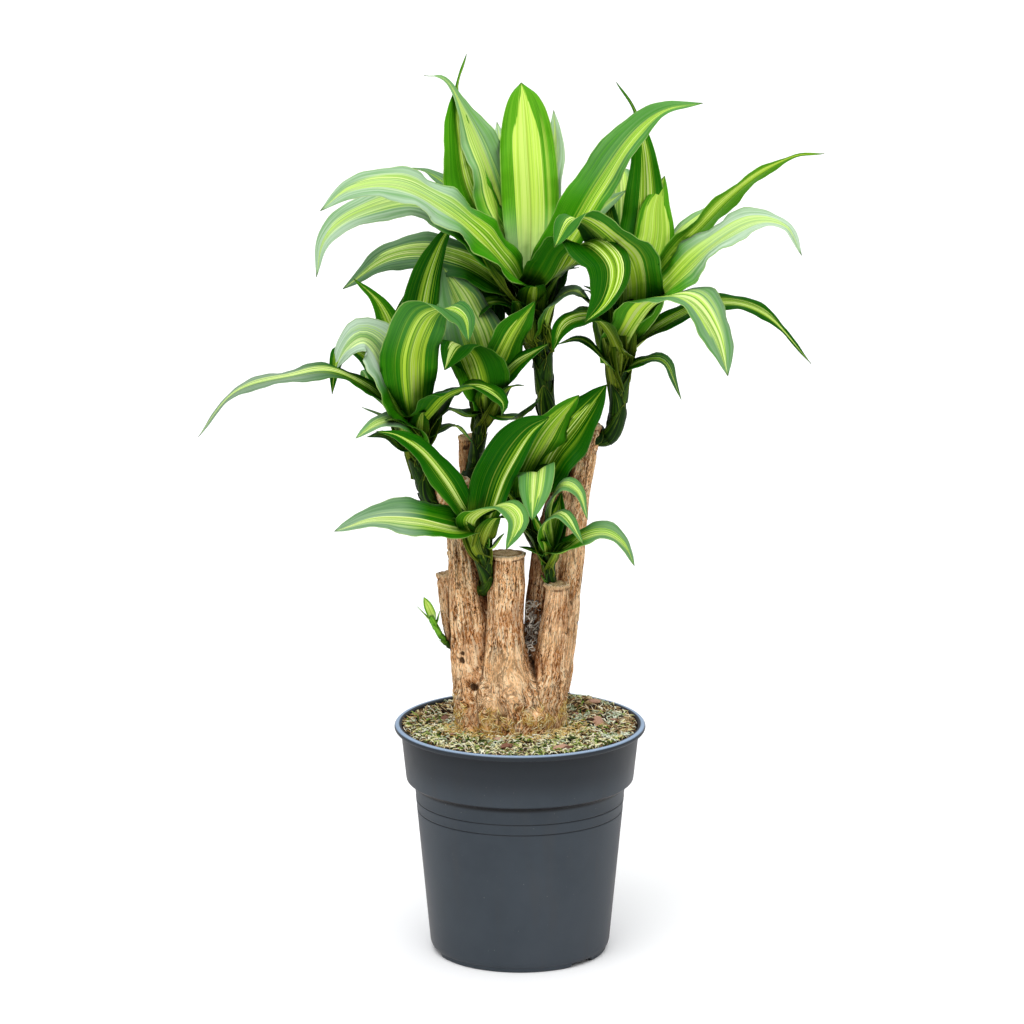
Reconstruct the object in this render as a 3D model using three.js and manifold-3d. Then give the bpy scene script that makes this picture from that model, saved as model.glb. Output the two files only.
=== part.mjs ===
// Potted corn plant: a clump of sawn woody canes with leafy green shoots, in a plastic nursery pot.
// Millimetres, +Z up, origin at the centre of the pot's resting face, front of the plant towards -Y.
import * as THREE from "three";
import { mergeVertices } from "three/addons/utils/BufferGeometryUtils.js";
import Module from "manifold-3d";

const wasm = await Module();
wasm.setup();

// ---------------------------------------------------------------- driving dimensions

const CLEARANCE = 0.7; // round a stem or foot in the plain hole it stands in
const SOIL_GAP = 0.4; // between the soil and the pot's wall

const RIM_RADIUS = 120; // outside of the rolled rim: a 24 cm pot
const POT_HEIGHT = 223.5;
const BEAD_RADIUS = 2.9;
const WALL = 2;
const COLLAR_TOP = [113.6, 216]; // radius and height of a point of the outside, and so on below
const COLLAR_FOOT = [109, 173];
const SHOULDER = [107, 168.8];
const BODY_TOP = [101, 166];
const BODY_FOOT = [86.2, 9];
const GROOVE_HEIGHTS = [150.4, 140]; // two fine lines under the step
const GROOVE_DEPTH = 0.5;
const FOOT_RING_OUTER = 82;
const FOOT_RING_INNER = 68;
const CENTRE_DISC_RADIUS = 32;
const CHANNEL_HEIGHT = 4; // raised ring of the floor, so that water runs out
const DRAIN_HOLES = 6;
const DRAIN_HOLE_RADIUS = 5;
const DRAIN_SLOTS = 3; // gaps in the foot ring
const DRAIN_SLOT_WIDTH = 27;
const FIRST_SLOT_BEARING = -44; // degrees from +X, counter-clockwise
const POT_SIDES = 36;

const SOIL_LEVEL = 218.5;
const SOIL_RINGS = 6;

const CANE_SIDES = 12;
const CANE_STEP = 26; // length of one stretch of a cane
const STEM_SIDES = 6;
const HEART_SWELL = 1.1; // of the stem's radius, where the leaf bases wrap each other
const MERGE = 0.3; // facets flatter than this are joined

const BLADE_THICKNESS = 1.2;
const BLADE_LOWEST_SEAT = 0.35; // place on the stem
const BLADE_ROOT_DEPTH = 4; // sunk into the stem
const BLADE_CLASP = 22; // most that a blade climbs along the stem before it leans out
const BLADE_STEP = 29; // length of one stretch of a blade
const BLADE_BASE_WIDTH = 0.28; // of the full width, where the blade clasps the stem
const BLADE_WIDEST = 0.5; // place of the full width along the blade
const BLADE_FOLD_BASE = 28; // degrees that each half stands up from flat, at the base
const BLADE_FOLD_TIP = 10;
const BLADE_WAVE = 0.075; // rise of the waved margin, of the full width
const TIP_WIDTH = 1.2;

// ---------------------------------------------------------------- the plant

// Root crown: height, centre x and y, half width along x and y. It reaches down into the soil.
const ROOT_CROWN = [
  [95, 0, 0, 12, 10],
  [130, -3, 0, 28, 22],
  [175, -7, -2, 44, 32],
  [214, -9, -4, 51, 38],
  [240, -9, -5, 54, 39],
  [262, -9, -5, 53, 37],
  [285, -8, -4, 46, 30],
  [305, -7, -3, 30, 19],
];

// Short stout roots: bearing, start height, reach, drop and radius at the start.
const ROOTS = [
  [20, 190, 86, 60, 9],
  [95, 180, 74, 70, 8],
  [165, 195, 80, 55, 9],
  [235, 175, 76, 75, 8],
  [305, 185, 80, 62, 8],
];

// Canes, each from its foot to its sawn top: [x, y, z, radius].
const CANES = {
  left: [[-36, -3, 234, 22], [-44, -5, 280, 21.5], [-50, -6, 330, 18.5], [-54, -6, 375, 14],
    [-57, -6, 410, 12], [-61, -6, 436, 14], [-64, -5, 450, 18.5], [-65, -5, 462, 18]],
  left_stub: [[-48, -3, 262, 13], [-57, -3, 300, 11], [-64, -2, 330, 9.5], [-69, 0, 366, 8.5]],
  back_thin: [[-24, 10, 260, 14], [-32, 16, 310, 12], [-40, 24, 377, 10.5], [-46, 28, 440, 9.5],
    [-49, 28, 498, 9.5]],
  front: [[-8, -16, 234, 25], [-11, -23, 262, 23], [-12, -27, 302, 17.5], [-12, -28, 351, 16.5],
    [-12, -26, 384, 16.5], [-12, -26, 396, 17.5]],
  middle_back: [[8, 2, 256, 15], [14, 4, 294, 14], [21, 4, 353, 14], [26, 2, 397, 14],
    [36, 9, 432, 13.5], [40, 12, 452, 13.5]],
  right: [[26, 3, 236, 18], [34, 6, 275, 16.5], [39, 8, 312, 15.5], [45, 12, 370, 14.5],
    [49, 14, 418, 14], [56, 16, 457, 12.5], [61, 16, 488, 12], [64, 16, 500, 13], [65, 16, 512, 12]],
  right_stub: [[18, -14, 238, 19], [24, -18, 268, 18], [29, -22, 305, 14], [33, -24, 338, 11.5],
    [35, -24, 358, 10.5], [35, -24, 366, 11.5]],
};

// Leafy shoots. stem: axis from inside the cane to the crown, with its two end radii.
// Each leaf is [depth of its seat under the crown, full width, bearing it leans to in degrees,
// roll about its length in degrees, then points of its midrib from the crown to the tip].
const SHOOTS = {
  shoot_top_left: {
    radii: [8.5, 8],
    stem: [[38, 10, 434], [41, 14, 459], [32, 16, 496], [24, 14, 535], [20, 14, 583], [9, 15, 628]],
    leaves: [
      // upright, centre
      [0, 58, 90, 0, [1, 19, 80], [-2, 41, 138], [-5, 63, 178], [-8, 85, 196]],
      // tallest, left
      [8, 44, 112, 0, [-32, 1, 56], [-59, 5, 107], [-68, 9, 156], [-69, 13, 200], [-59, 5, 235]],
      // second upright, left
      [4, 42, 100, 0, [-21, 17, 61], [-40, 31, 125], [-64, 41, 180], [-79, 45, 204], [-99, 43, 208]],
      // long, left, three under each other
      [14, 40, 205, -25, [-35, -37, 54], [-69, -57, 90], [-119, -75, 121], [-163, -85, 120],
        [-192, -91, 101]],
      [20, 34, 190, -35, [-63, -19, 75], [-109, -31, 101], [-161, -41, 90], [-190, -45, 67],
        [-198, -47, 32]],
      [26, 34, 185, -35, [-46, -9, 32], [-89, -7, 48], [-132, -9, 45], [-176, -13, 16]],
      // dark and short, left
      [30, 26, 215, -20, [-30, -23, 23], [-48, -31, 55], [-68, -33, 80]],
      // behind: left, right, left, far back
      [10, 32, 150, 0, [-49, 40, 76], [-92, 65, 110], [-117, 77, 115], [-129, 83, 106]],
      [6, 30, 70, 0, [15, 40, 95], [24, 70, 138], [23, 90, 169]],
      [4, 32, 98, 0, [-17, 55, 93], [-27, 85, 136], [-31, 103, 156]],
      [12, 38, 88, 0, [6, 70, 72], [6, 110, 109], [5, 150, 107]],
      // arching to the front
      [6, 40, 285, 0, [21, -35, 23], [33, -55, 49], [51, -75, 64], [70, -93, 49], [67, -101, 24],
        [50, -105, 0]],
      // long, right
      [2, 36, 20, 45, [38, -11, 73], [64, -7, 117], [94, -9, 160], [124, -15, 184], [160, -23, 191]],
      // small, right
      [24, 15, 340, 10, [25, -11, 1], [41, -21, 13], [56, -27, -4]],
      // right, behind the long one
      [8, 30, 40, 20, [31, 15, 54], [59, 31, 78], [91, 45, 99]],
      [6, 28, 60, 20, [32, 39, 61], [46, 62, 90], [58, 80, 112]],
      // hanging, back left
      [30, 34, 170, 0, [-26, 27, 11], [-54, 53, 12], [-77, 65, -6]],
    ],
  },
  shoot_top_right: {
    radii: [8.5, 7.5],
    stem: [[66, 16, 500], [77, 15, 496], [87, 14, 504], [92, 13, 523], [94, 12, 554], [92, 10, 588]],
    leaves: [
      // broad, folding over to the front left
      [6, 56, 245, 0, [10, -24, 47], [7, -42, 88], [-9, -62, 119], [-35, -78, 134], [-61, -90, 108]],
      // upright, tall and short
      [4, 38, 82, 0, [21, 20, 97], [25, 38, 160], [17, 50, 211], [-2, 48, 242]],
      [2, 34, 75, 0, [31, 6, 89], [36, 22, 129], [44, 42, 154]],
      // long, right
      [6, 30, 10, -35, [39, -6, 68], [76, -10, 111], [117, -18, 154], [158, -26, 181], [189, -32, 186]],
      // pale, right
      [10, 38, 350, 30, [49, -24, 61], [86, -40, 101], [122, -54, 125], [152, -64, 123], [167, -70, 97]],
      // big, front right
      [16, 46, 320, 0, [20, -34, 30], [37, -56, 52], [64, -74, 55], [86, -88, 29], [99, -96, -11]],
      // thin, right
      [24, 17, 5, 0, [41, 4, 17], [91, 10, 38], [138, 8, 28], [182, 0, -18]],
      // small, low right
      [36, 18, 350, 15, [22, -13, -14], [43, -20, -13], [59, -26, -47]],
      // thin, low left
      [38, 14, 190, -15, [-17, -13, -8], [-36, -20, 9], [-58, -24, 5]],
      // olive, arching left
      [22, 30, 205, -10, [-11, -30, 17], [-27, -46, 34], [-50, -56, 30], [-62, -62, 6]],
      // behind: inner left, pale right, far back
      [6, 32, 120, 0, [-7, 26, 81], [-11, 48, 125], [-5, 64, 143]],
      [8, 32, 40, 0, [51, 26, 88], [99, 54, 132]],
      [10, 36, 95, 0, [5, 60, 104], [5, 98, 146], [4, 140, 145]],
    ],
  },
  shoot_mid_left: {
    radii: [8, 7],
    stem: [[-70, -7, 440], [-79, -8, 441], [-86, -10, 447], [-92, -12, 463], [-97, -14, 485],
      [-99, -16, 506]],
    leaves: [
      // broad, folding over at the front
      [2, 60, 275, 0, [-3, -22, 39], [-3, -40, 85], [10, -56, 121], [30, -68, 133], [47, -76, 127],
        [52, -82, 105]],
      // glossy, left
      [8, 38, 190, -50, [-22, -6, 50], [-33, -12, 86], [-46, -16, 98], [-61, -20, 89], [-72, -22, 70],
        [-75, -24, 44]],
      // pointed, back left
      [2, 28, 110, 0, [-16, 18, 79], [-32, 24, 120], [-57, 28, 145]],
      // long and thin, left
      [12, 22, 195, -20, [-34, -18, 40], [-73, -34, 66], [-114, -48, 65], [-164, -60, 53],
        [-198, -70, 14]],
      // dark, arching right
      [4, 34, 325, 0, [18, -20, 27], [36, -40, 48], [60, -60, 58], [82, -76, 48], [82, -80, 36]],
      // small ones: back right, pale left, low left, left
      [14, 16, 30, 0, [24, 12, 2], [39, 18, 6], [55, 20, -11]],
      [8, 20, 200, -20, [-11, -18, 17], [-31, -30, 19], [-54, -38, 6]],
      [18, 14, 190, -20, [-14, -8, -10], [-28, -16, 4], [-44, -22, 4]],
      [10, 12, 165, 0, [-29, 18, 14], [-50, 24, 23]],
      // upright, and another behind it
      [2, 30, 100, 0, [-2, 20, 69], [7, 34, 133], [22, 44, 174], [38, 50, 198]],
      [6, 20, 80, 0, [-12, 42, 89], [-2, 60, 138]],
      // far back, left
      [12, 30, 140, 0, [-24, 46, 30], [-42, 71, 49], [-52, 91, 31]],
    ],
  },
  shoot_mid_centre: {
    radii: [6.5, 6.5],
    stem: [[-51, 27, 446], [-50, 26, 457], [-45, 20, 468], [-40, 14, 491], [-34, 8, 531]],
    leaves: [
      // broad, back left
      [2, 42, 110, 0, [-4, 12, 46], [-17, 26, 88], [-36, 38, 129]],
      // upright, right
      [2, 30, 300, 0, [13, -12, 38], [28, -22, 72], [48, -30, 105]],
      // arching, front left
      [4, 42, 250, 0, [-3, -26, 27], [-11, -44, 56], [-23, -60, 67], [-36, -70, 47]],
      // thin, right
      [8, 13, 20, 25, [26, -6, 35], [45, -12, 51], [61, -16, 62]],
      // low, left and right
      [16, 18, 200, 0, [-18, -6, -9], [-34, -12, -2], [-49, -16, -15]],
      [14, 18, 330, 0, [15, -8, -11], [35, -16, -8], [53, -18, 10]],
      // far back
      [8, 32, 80, 0, [9, 42, 35], [15, 70, 54], [19, 92, 40]],
    ],
  },
  shoot_low_centre: {
    radii: [6.5, 6.5],
    stem: [[-46, -10, 340], [-40, -14, 345], [-32, -28, 359], [-34, -40, 381], [-39, -50, 416]],
    leaves: [
      // long, left
      [6, 38, 185, -35, [-31, -12, 14], [-61, -26, 24], [-98, -38, 27], [-133, -46, 17]],
      // long, up left
      [2, 20, 150, -20, [-17, -4, 32], [-32, -10, 58], [-52, -16, 85], [-74, -22, 102], [-94, -24, 107]],
      // up, right
      [2, 42, 90, 0, [5, 4, 27], [14, 4, 58], [29, 2, 86], [46, 2, 105], [66, 2, 115]],
      // arching to the front
      [6, 28, 300, 0, [-4, -16, 19], [10, -32, 34], [27, -44, 38], [36, -52, 27], [26, -56, 2]],
      // small, right
      [12, 12, 0, 0, [13, 0, -10], [24, -2, 5]],
    ],
  },
  shoot_inner: {
    radii: [6.5, 6.5],
    stem: [[27, 0, 376], [23, -2, 387], [16, -4, 400], [8, -8, 418], [1, -10, 436]],
    leaves: [
      // broad, right, and the dark one beside it
      [2, 42, 300, 0, [4, -6, 30], [16, -10, 57], [30, -14, 81], [54, -18, 112]],
      [2, 38, 60, 0, [18, 6, 25], [34, 4, 54], [53, 0, 80], [80, -4, 119]],
      // drooping to the front
      [6, 34, 270, 0, [6, -10, 22], [14, -28, 40], [14, -46, 37], [10, -58, 1]],
    ],
  },
  shoot_low_right: {
    radii: [5, 5],
    stem: [[34, -22, 342], [33, -21, 350], [30, -20, 362], [28, -22, 376], [26, -25, 394]],
    leaves: [
      // small, top right and mid right
      [2, 16, 340, 20, [2, -13, 46], [13, -21, 71], [28, -27, 66], [37, -31, 41]],
      [4, 15, 330, 10, [-2, -23, 34], [13, -33, 46], [33, -41, 20]],
      // long, right
      [6, 24, 350, 20, [17, -11, 7], [34, -17, 21], [54, -23, 26], [71, -27, 16], [81, -29, -4]],
      // tiny, left, and two rising ones
      [8, 10, 180, 0, [-12, -5, 4], [-27, -9, 10]],
      [4, 14, 210, 0, [-7, -13, 24], [-15, -21, 46]],
      [4, 14, 60, 0, [8, 9, 31], [13, 15, 57]],
      // bud at the foot
      [20, 7, 190, 0, [-2, -1, -26], [-6, -3, -19]],
    ],
  },
  sprout_left: {
    radii: [2.6, 2.6],
    stem: [[-57, -2, 284], [-65, -3, 291], [-71, -5, 302], [-77, -8, 313], [-83, -12, 327]],
    leaves: [
      [0, 9, 100, 0, [-4, -1, 14], [-8, -2, 23]],
      [6, 5, 180, 0, [-5, -1, 4], [-14, -2, 14]],
      [4, 4, 20, 0, [4, 1, -2], [7, 2, 9]],
    ],
  },
};

// ---------------------------------------------------------------- materials

const potPlastic = new THREE.MeshStandardMaterial({ color: "#474c52", roughness: 0.55 });
const pottingMix = new THREE.MeshStandardMaterial({ color: "#6a5f3c", roughness: 1 });
const bark = new THREE.MeshStandardMaterial({ color: "#b98f62", roughness: 0.9 });
const leafGreen = new THREE.MeshStandardMaterial({ color: "#4f9a34", roughness: 0.4 });

// ---------------------------------------------------------------- helpers

const vector = (x, y, z) => new THREE.Vector3(x, y, z);
const radians = THREE.MathUtils.degToRad;
const smoothstep = THREE.MathUtils.smoothstep;
const lerp = THREE.MathUtils.lerp;

function seededRandom(seed) {
  let state = seed;
  return () => {
    state = (Math.imul(state, 1664525) + 1013904223) >>> 0;
    return state / 4294967296;
  };
}

function curveThrough(points) {
  return new THREE.CatmullRomCurve3(points, false, "catmullrom", 0.5);
}

function geometryFrom(points, triangles) {
  const geometry = new THREE.BufferGeometry().setFromPoints(points);
  geometry.setIndex(triangles);
  return geometry;
}

function solidOf(geometry) {
  const bare = geometry.clone();
  bare.deleteAttribute("normal");
  bare.deleteAttribute("uv");
  const closed = mergeVertices(bare, 1e-4);
  return new wasm.Manifold(new wasm.Mesh({
    numProp: 3,
    vertProperties: Float32Array.from(closed.attributes.position.array),
    triVerts: Uint32Array.from(closed.index.array),
  }));
}

// The largest connected body, without loose scraps.
function mainBody(solid) {
  const bodies = solid.decompose();
  return bodies.reduce((largest, body) => (body.volume() > largest.volume() ? body : largest));
}

function meshOf(name, solid, material) {
  const { vertProperties, triVerts } = mainBody(solid).getMesh();
  const geometry = new THREE.BufferGeometry();
  geometry.setAttribute("position", new THREE.BufferAttribute(vertProperties, 3));
  geometry.setIndex(new THREE.BufferAttribute(triVerts, 1));
  geometry.computeVertexNormals();
  const mesh = new THREE.Mesh(geometry, material);
  mesh.name = name;
  return mesh;
}

// Closed body through rings of equally many points, counter-clockwise seen from the last ring's end.
function loft(rings) {
  const sides = rings[0].length;
  const points = rings.flat();
  const triangles = [];
  for (let ring = 0; ring + 1 < rings.length; ring += 1) {
    for (let side = 0; side < sides; side += 1) {
      const a = ring * sides + side;
      const b = ring * sides + ((side + 1) % sides);
      triangles.push(a, b, b + sides, a, b + sides, a + sides);
    }
  }
  const middle = (ring) => ring.reduce((sum, p) => sum.add(p), vector(0, 0, 0)).divideScalar(sides);
  const last = (rings.length - 1) * sides;
  const foot = points.push(middle(rings[0])) - 1;
  const head = points.push(middle(rings.at(-1))) - 1;
  for (let side = 0; side < sides; side += 1) {
    const next = (side + 1) % sides;
    triangles.push(foot, next, side, head, last + side, last + next);
  }
  return geometryFrom(points, triangles);
}

// Rings of a tube along a curve; radiusAt(along, angle) gives the radius, 0 to 1 along the curve.
function tubeRings(curve, steps, sides, radiusAt) {
  const rings = [];
  let across = vector(1, 0, 0);
  for (let step = 0; step <= steps; step += 1) {
    const along = step / steps;
    const tangent = curve.getTangentAt(along);
    across = across.clone().addScaledVector(tangent, -across.dot(tangent)).normalize();
    const third = tangent.clone().cross(across);
    const centre = curve.getPointAt(along);
    const ring = [];
    for (let side = 0; side < sides; side += 1) {
      const angle = (side / sides) * 2 * Math.PI;
      const radius = radiusAt(along, angle);
      ring.push(centre.clone()
        .addScaledVector(across, radius * Math.cos(angle))
        .addScaledVector(third, radius * Math.sin(angle)));
    }
    rings.push(ring);
  }
  return rings;
}

// Closed sheet over rows of points, with the same triangles on both faces. below holds, for each
// row, the step from the upper to the lower face.
function sheet(rows, below) {
  const columns = rows[0].length;
  const count = rows.length * columns;
  const points = [...rows.flat(), ...rows.flatMap((row, i) => row.map((p) => p.clone().add(below[i])))];
  const triangles = [];
  const quad = (a, b, c, d) => triangles.push(a, b, c, a, c, d);
  for (let i = 0; i + 1 < rows.length; i += 1) {
    for (let j = 0; j + 1 < columns; j += 1) {
      const a = i * columns + j;
      const [b, c, d] = [a + 1, a + columns + 1, a + columns];
      quad(a, b, c, d);
      triangles.push(count + a, count + c, count + b, count + a, count + d, count + c);
    }
    const left = i * columns;
    const right = left + columns - 1;
    quad(left, left + columns, count + left + columns, count + left);
    quad(right + columns, right, count + right, count + right + columns);
  }
  const last = (rows.length - 1) * columns;
  for (let j = 0; j + 1 < columns; j += 1) {
    quad(j + 1, j, count + j, count + j + 1);
    quad(last + j, last + j + 1, count + last + j + 1, count + last + j);
  }
  return geometryFrom(points, triangles);
}

// ---------------------------------------------------------------- pot

// The outside from the foot ring up to the underside of the rim, as [radius, height].
function potOutside() {
  const body = [];
  const groove = (z) => {
    const r = lerp(BODY_FOOT[0], BODY_TOP[0], (z - BODY_FOOT[1]) / (BODY_TOP[1] - BODY_FOOT[1]));
    body.push([r + 0.3, z + 1], [r - GROOVE_DEPTH, z], [r, z - 0.6]);
  };
  GROOVE_HEIGHTS.forEach(groove);
  body.reverse();
  return [
    [FOOT_RING_OUTER, 0],
    [FOOT_RING_OUTER + 1.1, 1.2],
    [FOOT_RING_OUTER + 1.1, CHANNEL_HEIGHT],
    [FOOT_RING_OUTER + 2.9, CHANNEL_HEIGHT + 1.6],
    BODY_FOOT,
    ...body,
    BODY_TOP,
    [SHOULDER[0] - 3.2, SHOULDER[1] - 2.5],
    SHOULDER,
    [COLLAR_FOOT[0] - 0.5, COLLAR_FOOT[1] - 3],
    COLLAR_FOOT,
    COLLAR_TOP,
  ];
}

function rimBead() {
  const centre = [RIM_RADIUS - BEAD_RADIUS, POT_HEIGHT - BEAD_RADIUS];
  return [-110, -60, -10, 35, 85].map((degrees) => [
    centre[0] + BEAD_RADIUS * Math.cos(radians(degrees)),
    centre[1] + BEAD_RADIUS * Math.sin(radians(degrees)),
  ]);
}

// The inside from under the rim down to the floor's middle.
function potInside() {
  return [
    [COLLAR_TOP[0] + 1.5, POT_HEIGHT - 0.2],
    [COLLAR_TOP[0] - 0.6, POT_HEIGHT - 1],
    [COLLAR_TOP[0] - WALL, COLLAR_TOP[1]],
    [COLLAR_FOOT[0] - WALL, COLLAR_FOOT[1]],
    [SHOULDER[0] - WALL, SHOULDER[1] + 0.5],
    [BODY_TOP[0] - WALL, BODY_TOP[1] + 0.5],
    [BODY_FOOT[0] - WALL, BODY_FOOT[1]],
    [FOOT_RING_OUTER - 2, WALL + 0.4],
    [FOOT_RING_INNER + 1, WALL + 0.4],
    [FOOT_RING_INNER - 1.5, CHANNEL_HEIGHT + WALL],
    [CENTRE_DISC_RADIUS + 1.5, CHANNEL_HEIGHT + WALL],
    [CENTRE_DISC_RADIUS - 1, WALL + 0.4],
    [0, WALL + 0.4],
  ];
}

function turned(profile, sides) {
  const lathe = new THREE.LatheGeometry(profile.map(([r, z]) => new THREE.Vector2(r, z)), sides);
  return lathe.rotateX(Math.PI / 2);
}

function potSolid() {
  const underside = [
    [0, 0],
    [CENTRE_DISC_RADIUS, 0],
    [CENTRE_DISC_RADIUS + 2, CHANNEL_HEIGHT],
    [FOOT_RING_INNER - 2, CHANNEL_HEIGHT],
    [FOOT_RING_INNER, 0],
  ];
  let pot = solidOf(turned([...underside, ...potOutside(), ...rimBead(), ...potInside()], POT_SIDES));
  for (let hole = 0; hole < DRAIN_HOLES; hole += 1) {
    const cutter = new THREE.CylinderGeometry(DRAIN_HOLE_RADIUS, DRAIN_HOLE_RADIUS, 20, 10);
    cutter.rotateX(Math.PI / 2);
    cutter.translate((CENTRE_DISC_RADIUS + FOOT_RING_INNER) / 2, 0, 0);
    cutter.rotateZ(((hole + 0.5) / DRAIN_HOLES) * 2 * Math.PI);
    pot = pot.subtract(solidOf(cutter));
  }
  for (let slot = 0; slot < DRAIN_SLOTS; slot += 1) {
    const reach = RIM_RADIUS - FOOT_RING_INNER;
    const cutter = new THREE.BoxGeometry(reach, DRAIN_SLOT_WIDTH, 2 * CHANNEL_HEIGHT);
    cutter.translate(FOOT_RING_INNER - 2.5 + reach / 2, 0, 0);
    cutter.rotateZ(radians(FIRST_SLOT_BEARING) + (slot / DRAIN_SLOTS) * 2 * Math.PI);
    pot = pot.subtract(solidOf(cutter));
  }
  return pot;
}

// ---------------------------------------------------------------- soil

function soilHeight(x, y) {
  const heap = (cx, cy, rise, spread) => {
    const distance = Math.hypot(x - cx, y - cy);
    return rise * Math.exp(-0.5 * (distance / spread) ** 2);
  };
  const nearWall = smoothstep(Math.hypot(x, y), 84, 108);
  const heaps = heap(-8, -4, 4, 52) + heap(72, 62, 11, 26) + heap(30, 80, 4, 24) - heap(-78, 45, 6, 30);
  const ripple = Math.sin(x / 9 + 1) * Math.cos(y / 8) + 0.6 * Math.sin(x / 4.3 - y / 5.1);
  return SOIL_LEVEL + heaps * (1 - 0.75 * nearWall) + ripple * 0.8 * (1 - nearWall);
}

function soilSolid() {
  const ring = (radius, heightAt) => Array.from({ length: POT_SIDES }, (_, side) => {
    const angle = (side / POT_SIDES) * 2 * Math.PI;
    const [x, y] = [radius * Math.cos(angle), radius * Math.sin(angle)];
    return vector(x, y, heightAt(x, y));
  });
  const floor = CHANNEL_HEIGHT + WALL + SOIL_GAP;
  const wallAt = ([r, z]) => [r - WALL - SOIL_GAP, z];
  const wall = [
    [wallAt(BODY_FOOT)[0], Math.max(BODY_FOOT[1], floor + 2)],
    wallAt([BODY_TOP[0], BODY_TOP[1] + 1.5]),
    wallAt([SHOULDER[0], SHOULDER[1] + 1.5]),
    wallAt(COLLAR_FOOT),
  ];
  const top = wallAt([COLLAR_TOP[0] - 0.4, 0])[0];
  const rings = [ring(wall[0][0] - 3, () => floor), ...wall.map(([r, z]) => ring(r, () => z))];
  for (let step = 0; step < SOIL_RINGS; step += 1) {
    rings.push(ring(top * (1 - step / SOIL_RINGS), soilHeight));
  }
  return solidOf(loft(rings));
}

// ---------------------------------------------------------------- trunk

function rootCrown(margin) {
  const sides = 22;
  const rings = ROOT_CROWN.map(([z, cx, cy, rx, ry]) => Array.from({ length: sides }, (_, side) => {
    const angle = (side / sides) * 2 * Math.PI;
    const lump = 1 + 0.045 * Math.sin(5 * angle + z / 30) + 0.03 * Math.sin(9 * angle - z / 17);
    return vector(
      cx + (rx * lump + margin) * Math.cos(angle),
      cy + (ry * lump + margin) * Math.sin(angle),
      z,
    );
  }));
  return solidOf(loft(rings));
}

function root([bearing, z, reach, drop, radius], margin) {
  const [dx, dy] = [Math.cos(radians(bearing)), Math.sin(radians(bearing))];
  const at = (out, down) => vector(dx * out, dy * out, z - down);
  const curve = curveThrough([at(8, 0), at(reach * 0.5, drop * 0.3), at(reach, drop)]);
  return solidOf(loft(tubeRings(curve, 4, 6, (along) => radius * (1 - 0.7 * along) + margin)));
}

function footSolid(margin) {
  return ROOTS.reduce((foot, each) => foot.add(root(each, margin)), rootCrown(margin));
}

function caneSolid(stations, index) {
  const curve = curveThrough(stations.map(([x, y, z]) => vector(x, y, z)));
  const steps = Math.max(6, Math.round(curve.getLength() / CANE_STEP));
  const spans = stations.length - 1;
  const radiusAt = (along, angle) => {
    const place = curve.getUtoTmapping(along) * spans;
    const span = Math.min(spans - 1, Math.floor(place));
    const radius = lerp(stations[span][3], stations[span + 1][3], place - span);
    const ribs = 0.05 * Math.sin(3 * angle + index + 4 * along) + 0.035 * Math.sin(7 * angle + 5 * along);
    return radius * (1 + ribs);
  };
  const rings = tubeRings(curve, steps, CANE_SIDES, radiusAt);
  const top = rings.at(-1);
  const middle = curve.getPointAt(1);
  const rise = curve.getTangentAt(1).multiplyScalar(1.5);
  rings.push(top.map((p) => p.clone().lerp(middle, 0.12).add(rise)));
  return solidOf(loft(rings));
}

function stemSolid({ stem, radii }, margin) {
  const curve = curveThrough(stem.map(([x, y, z]) => vector(x, y, z)));
  const steps = Math.max(4, Math.round(curve.getLength() / 22));
  const radiusAt = (along) => lerp(radii[0], radii[1], along) + margin;
  return solidOf(loft(tubeRings(curve, steps, STEM_SIDES, radiusAt)));
}

// Leaf bases wrapped round the end of the stem, narrowing to the unopened heart of the shoot.
function heartSolid({ stem, radii }) {
  const radius = radii[1];
  const stemCurve = curveThrough(stem.map(([x, y, z]) => vector(x, y, z)));
  const foot = stemCurve.getPointAt(1 - Math.min(0.3, (3 * radius) / stemCurve.getLength()));
  const crown = stemCurve.getPointAt(1);
  const head = crown.clone().addScaledVector(stemCurve.getTangentAt(1), 2.6 * radius);
  const swelling = (along) => lerp(0.9, 0.3, along) + HEART_SWELL * Math.sin(Math.PI * along);
  const curve = curveThrough([foot, crown, head]);
  return solidOf(loft(tubeRings(curve, 5, STEM_SIDES, (along) => radius * swelling(along))));
}

function trunkSolid() {
  let trunk = footSolid(0);
  Object.values(CANES).forEach((stations, index) => {
    trunk = trunk.add(caneSolid(stations, index));
  });
  for (const shoot of Object.values(SHOOTS)) {
    trunk = trunk.subtract(stemSolid(shoot, CLEARANCE));
  }
  return trunk.simplify(MERGE);
}

// ---------------------------------------------------------------- leaves

function bladeWidth(along) {
  const opening = Math.sin((Math.PI / 2) * Math.min(1, along / BLADE_WIDEST));
  const narrowing = THREE.MathUtils.clamp((along - BLADE_WIDEST + 0.1) / (1.06 - BLADE_WIDEST), 0, 1);
  return lerp(BLADE_BASE_WIDTH, 1, opening) * (1 - narrowing ** 2.4);
}

// Points of the midrib: it leaves the stem upwards, then arches out to its own points.
function midribPoints(stemCurve, crown, seat, bearing, points) {
  const onStem = stemCurve.getPointAt(Math.max(BLADE_LOWEST_SEAT, 1 - seat / stemCurve.getLength()));
  const out = vector(Math.cos(radians(bearing)), Math.sin(radians(bearing)), 0);
  const clasp = Math.min(BLADE_CLASP, 0.3 * vector(...points[0]).length());
  return [
    onStem.clone().setZ(onStem.z - BLADE_ROOT_DEPTH),
    onStem.clone().addScaledVector(out, 0.3 * clasp).setZ(onStem.z + 0.8 * clasp),
    ...points.map(([x, y, z]) => vector(x, y, z).add(crown)),
  ];
}

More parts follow.
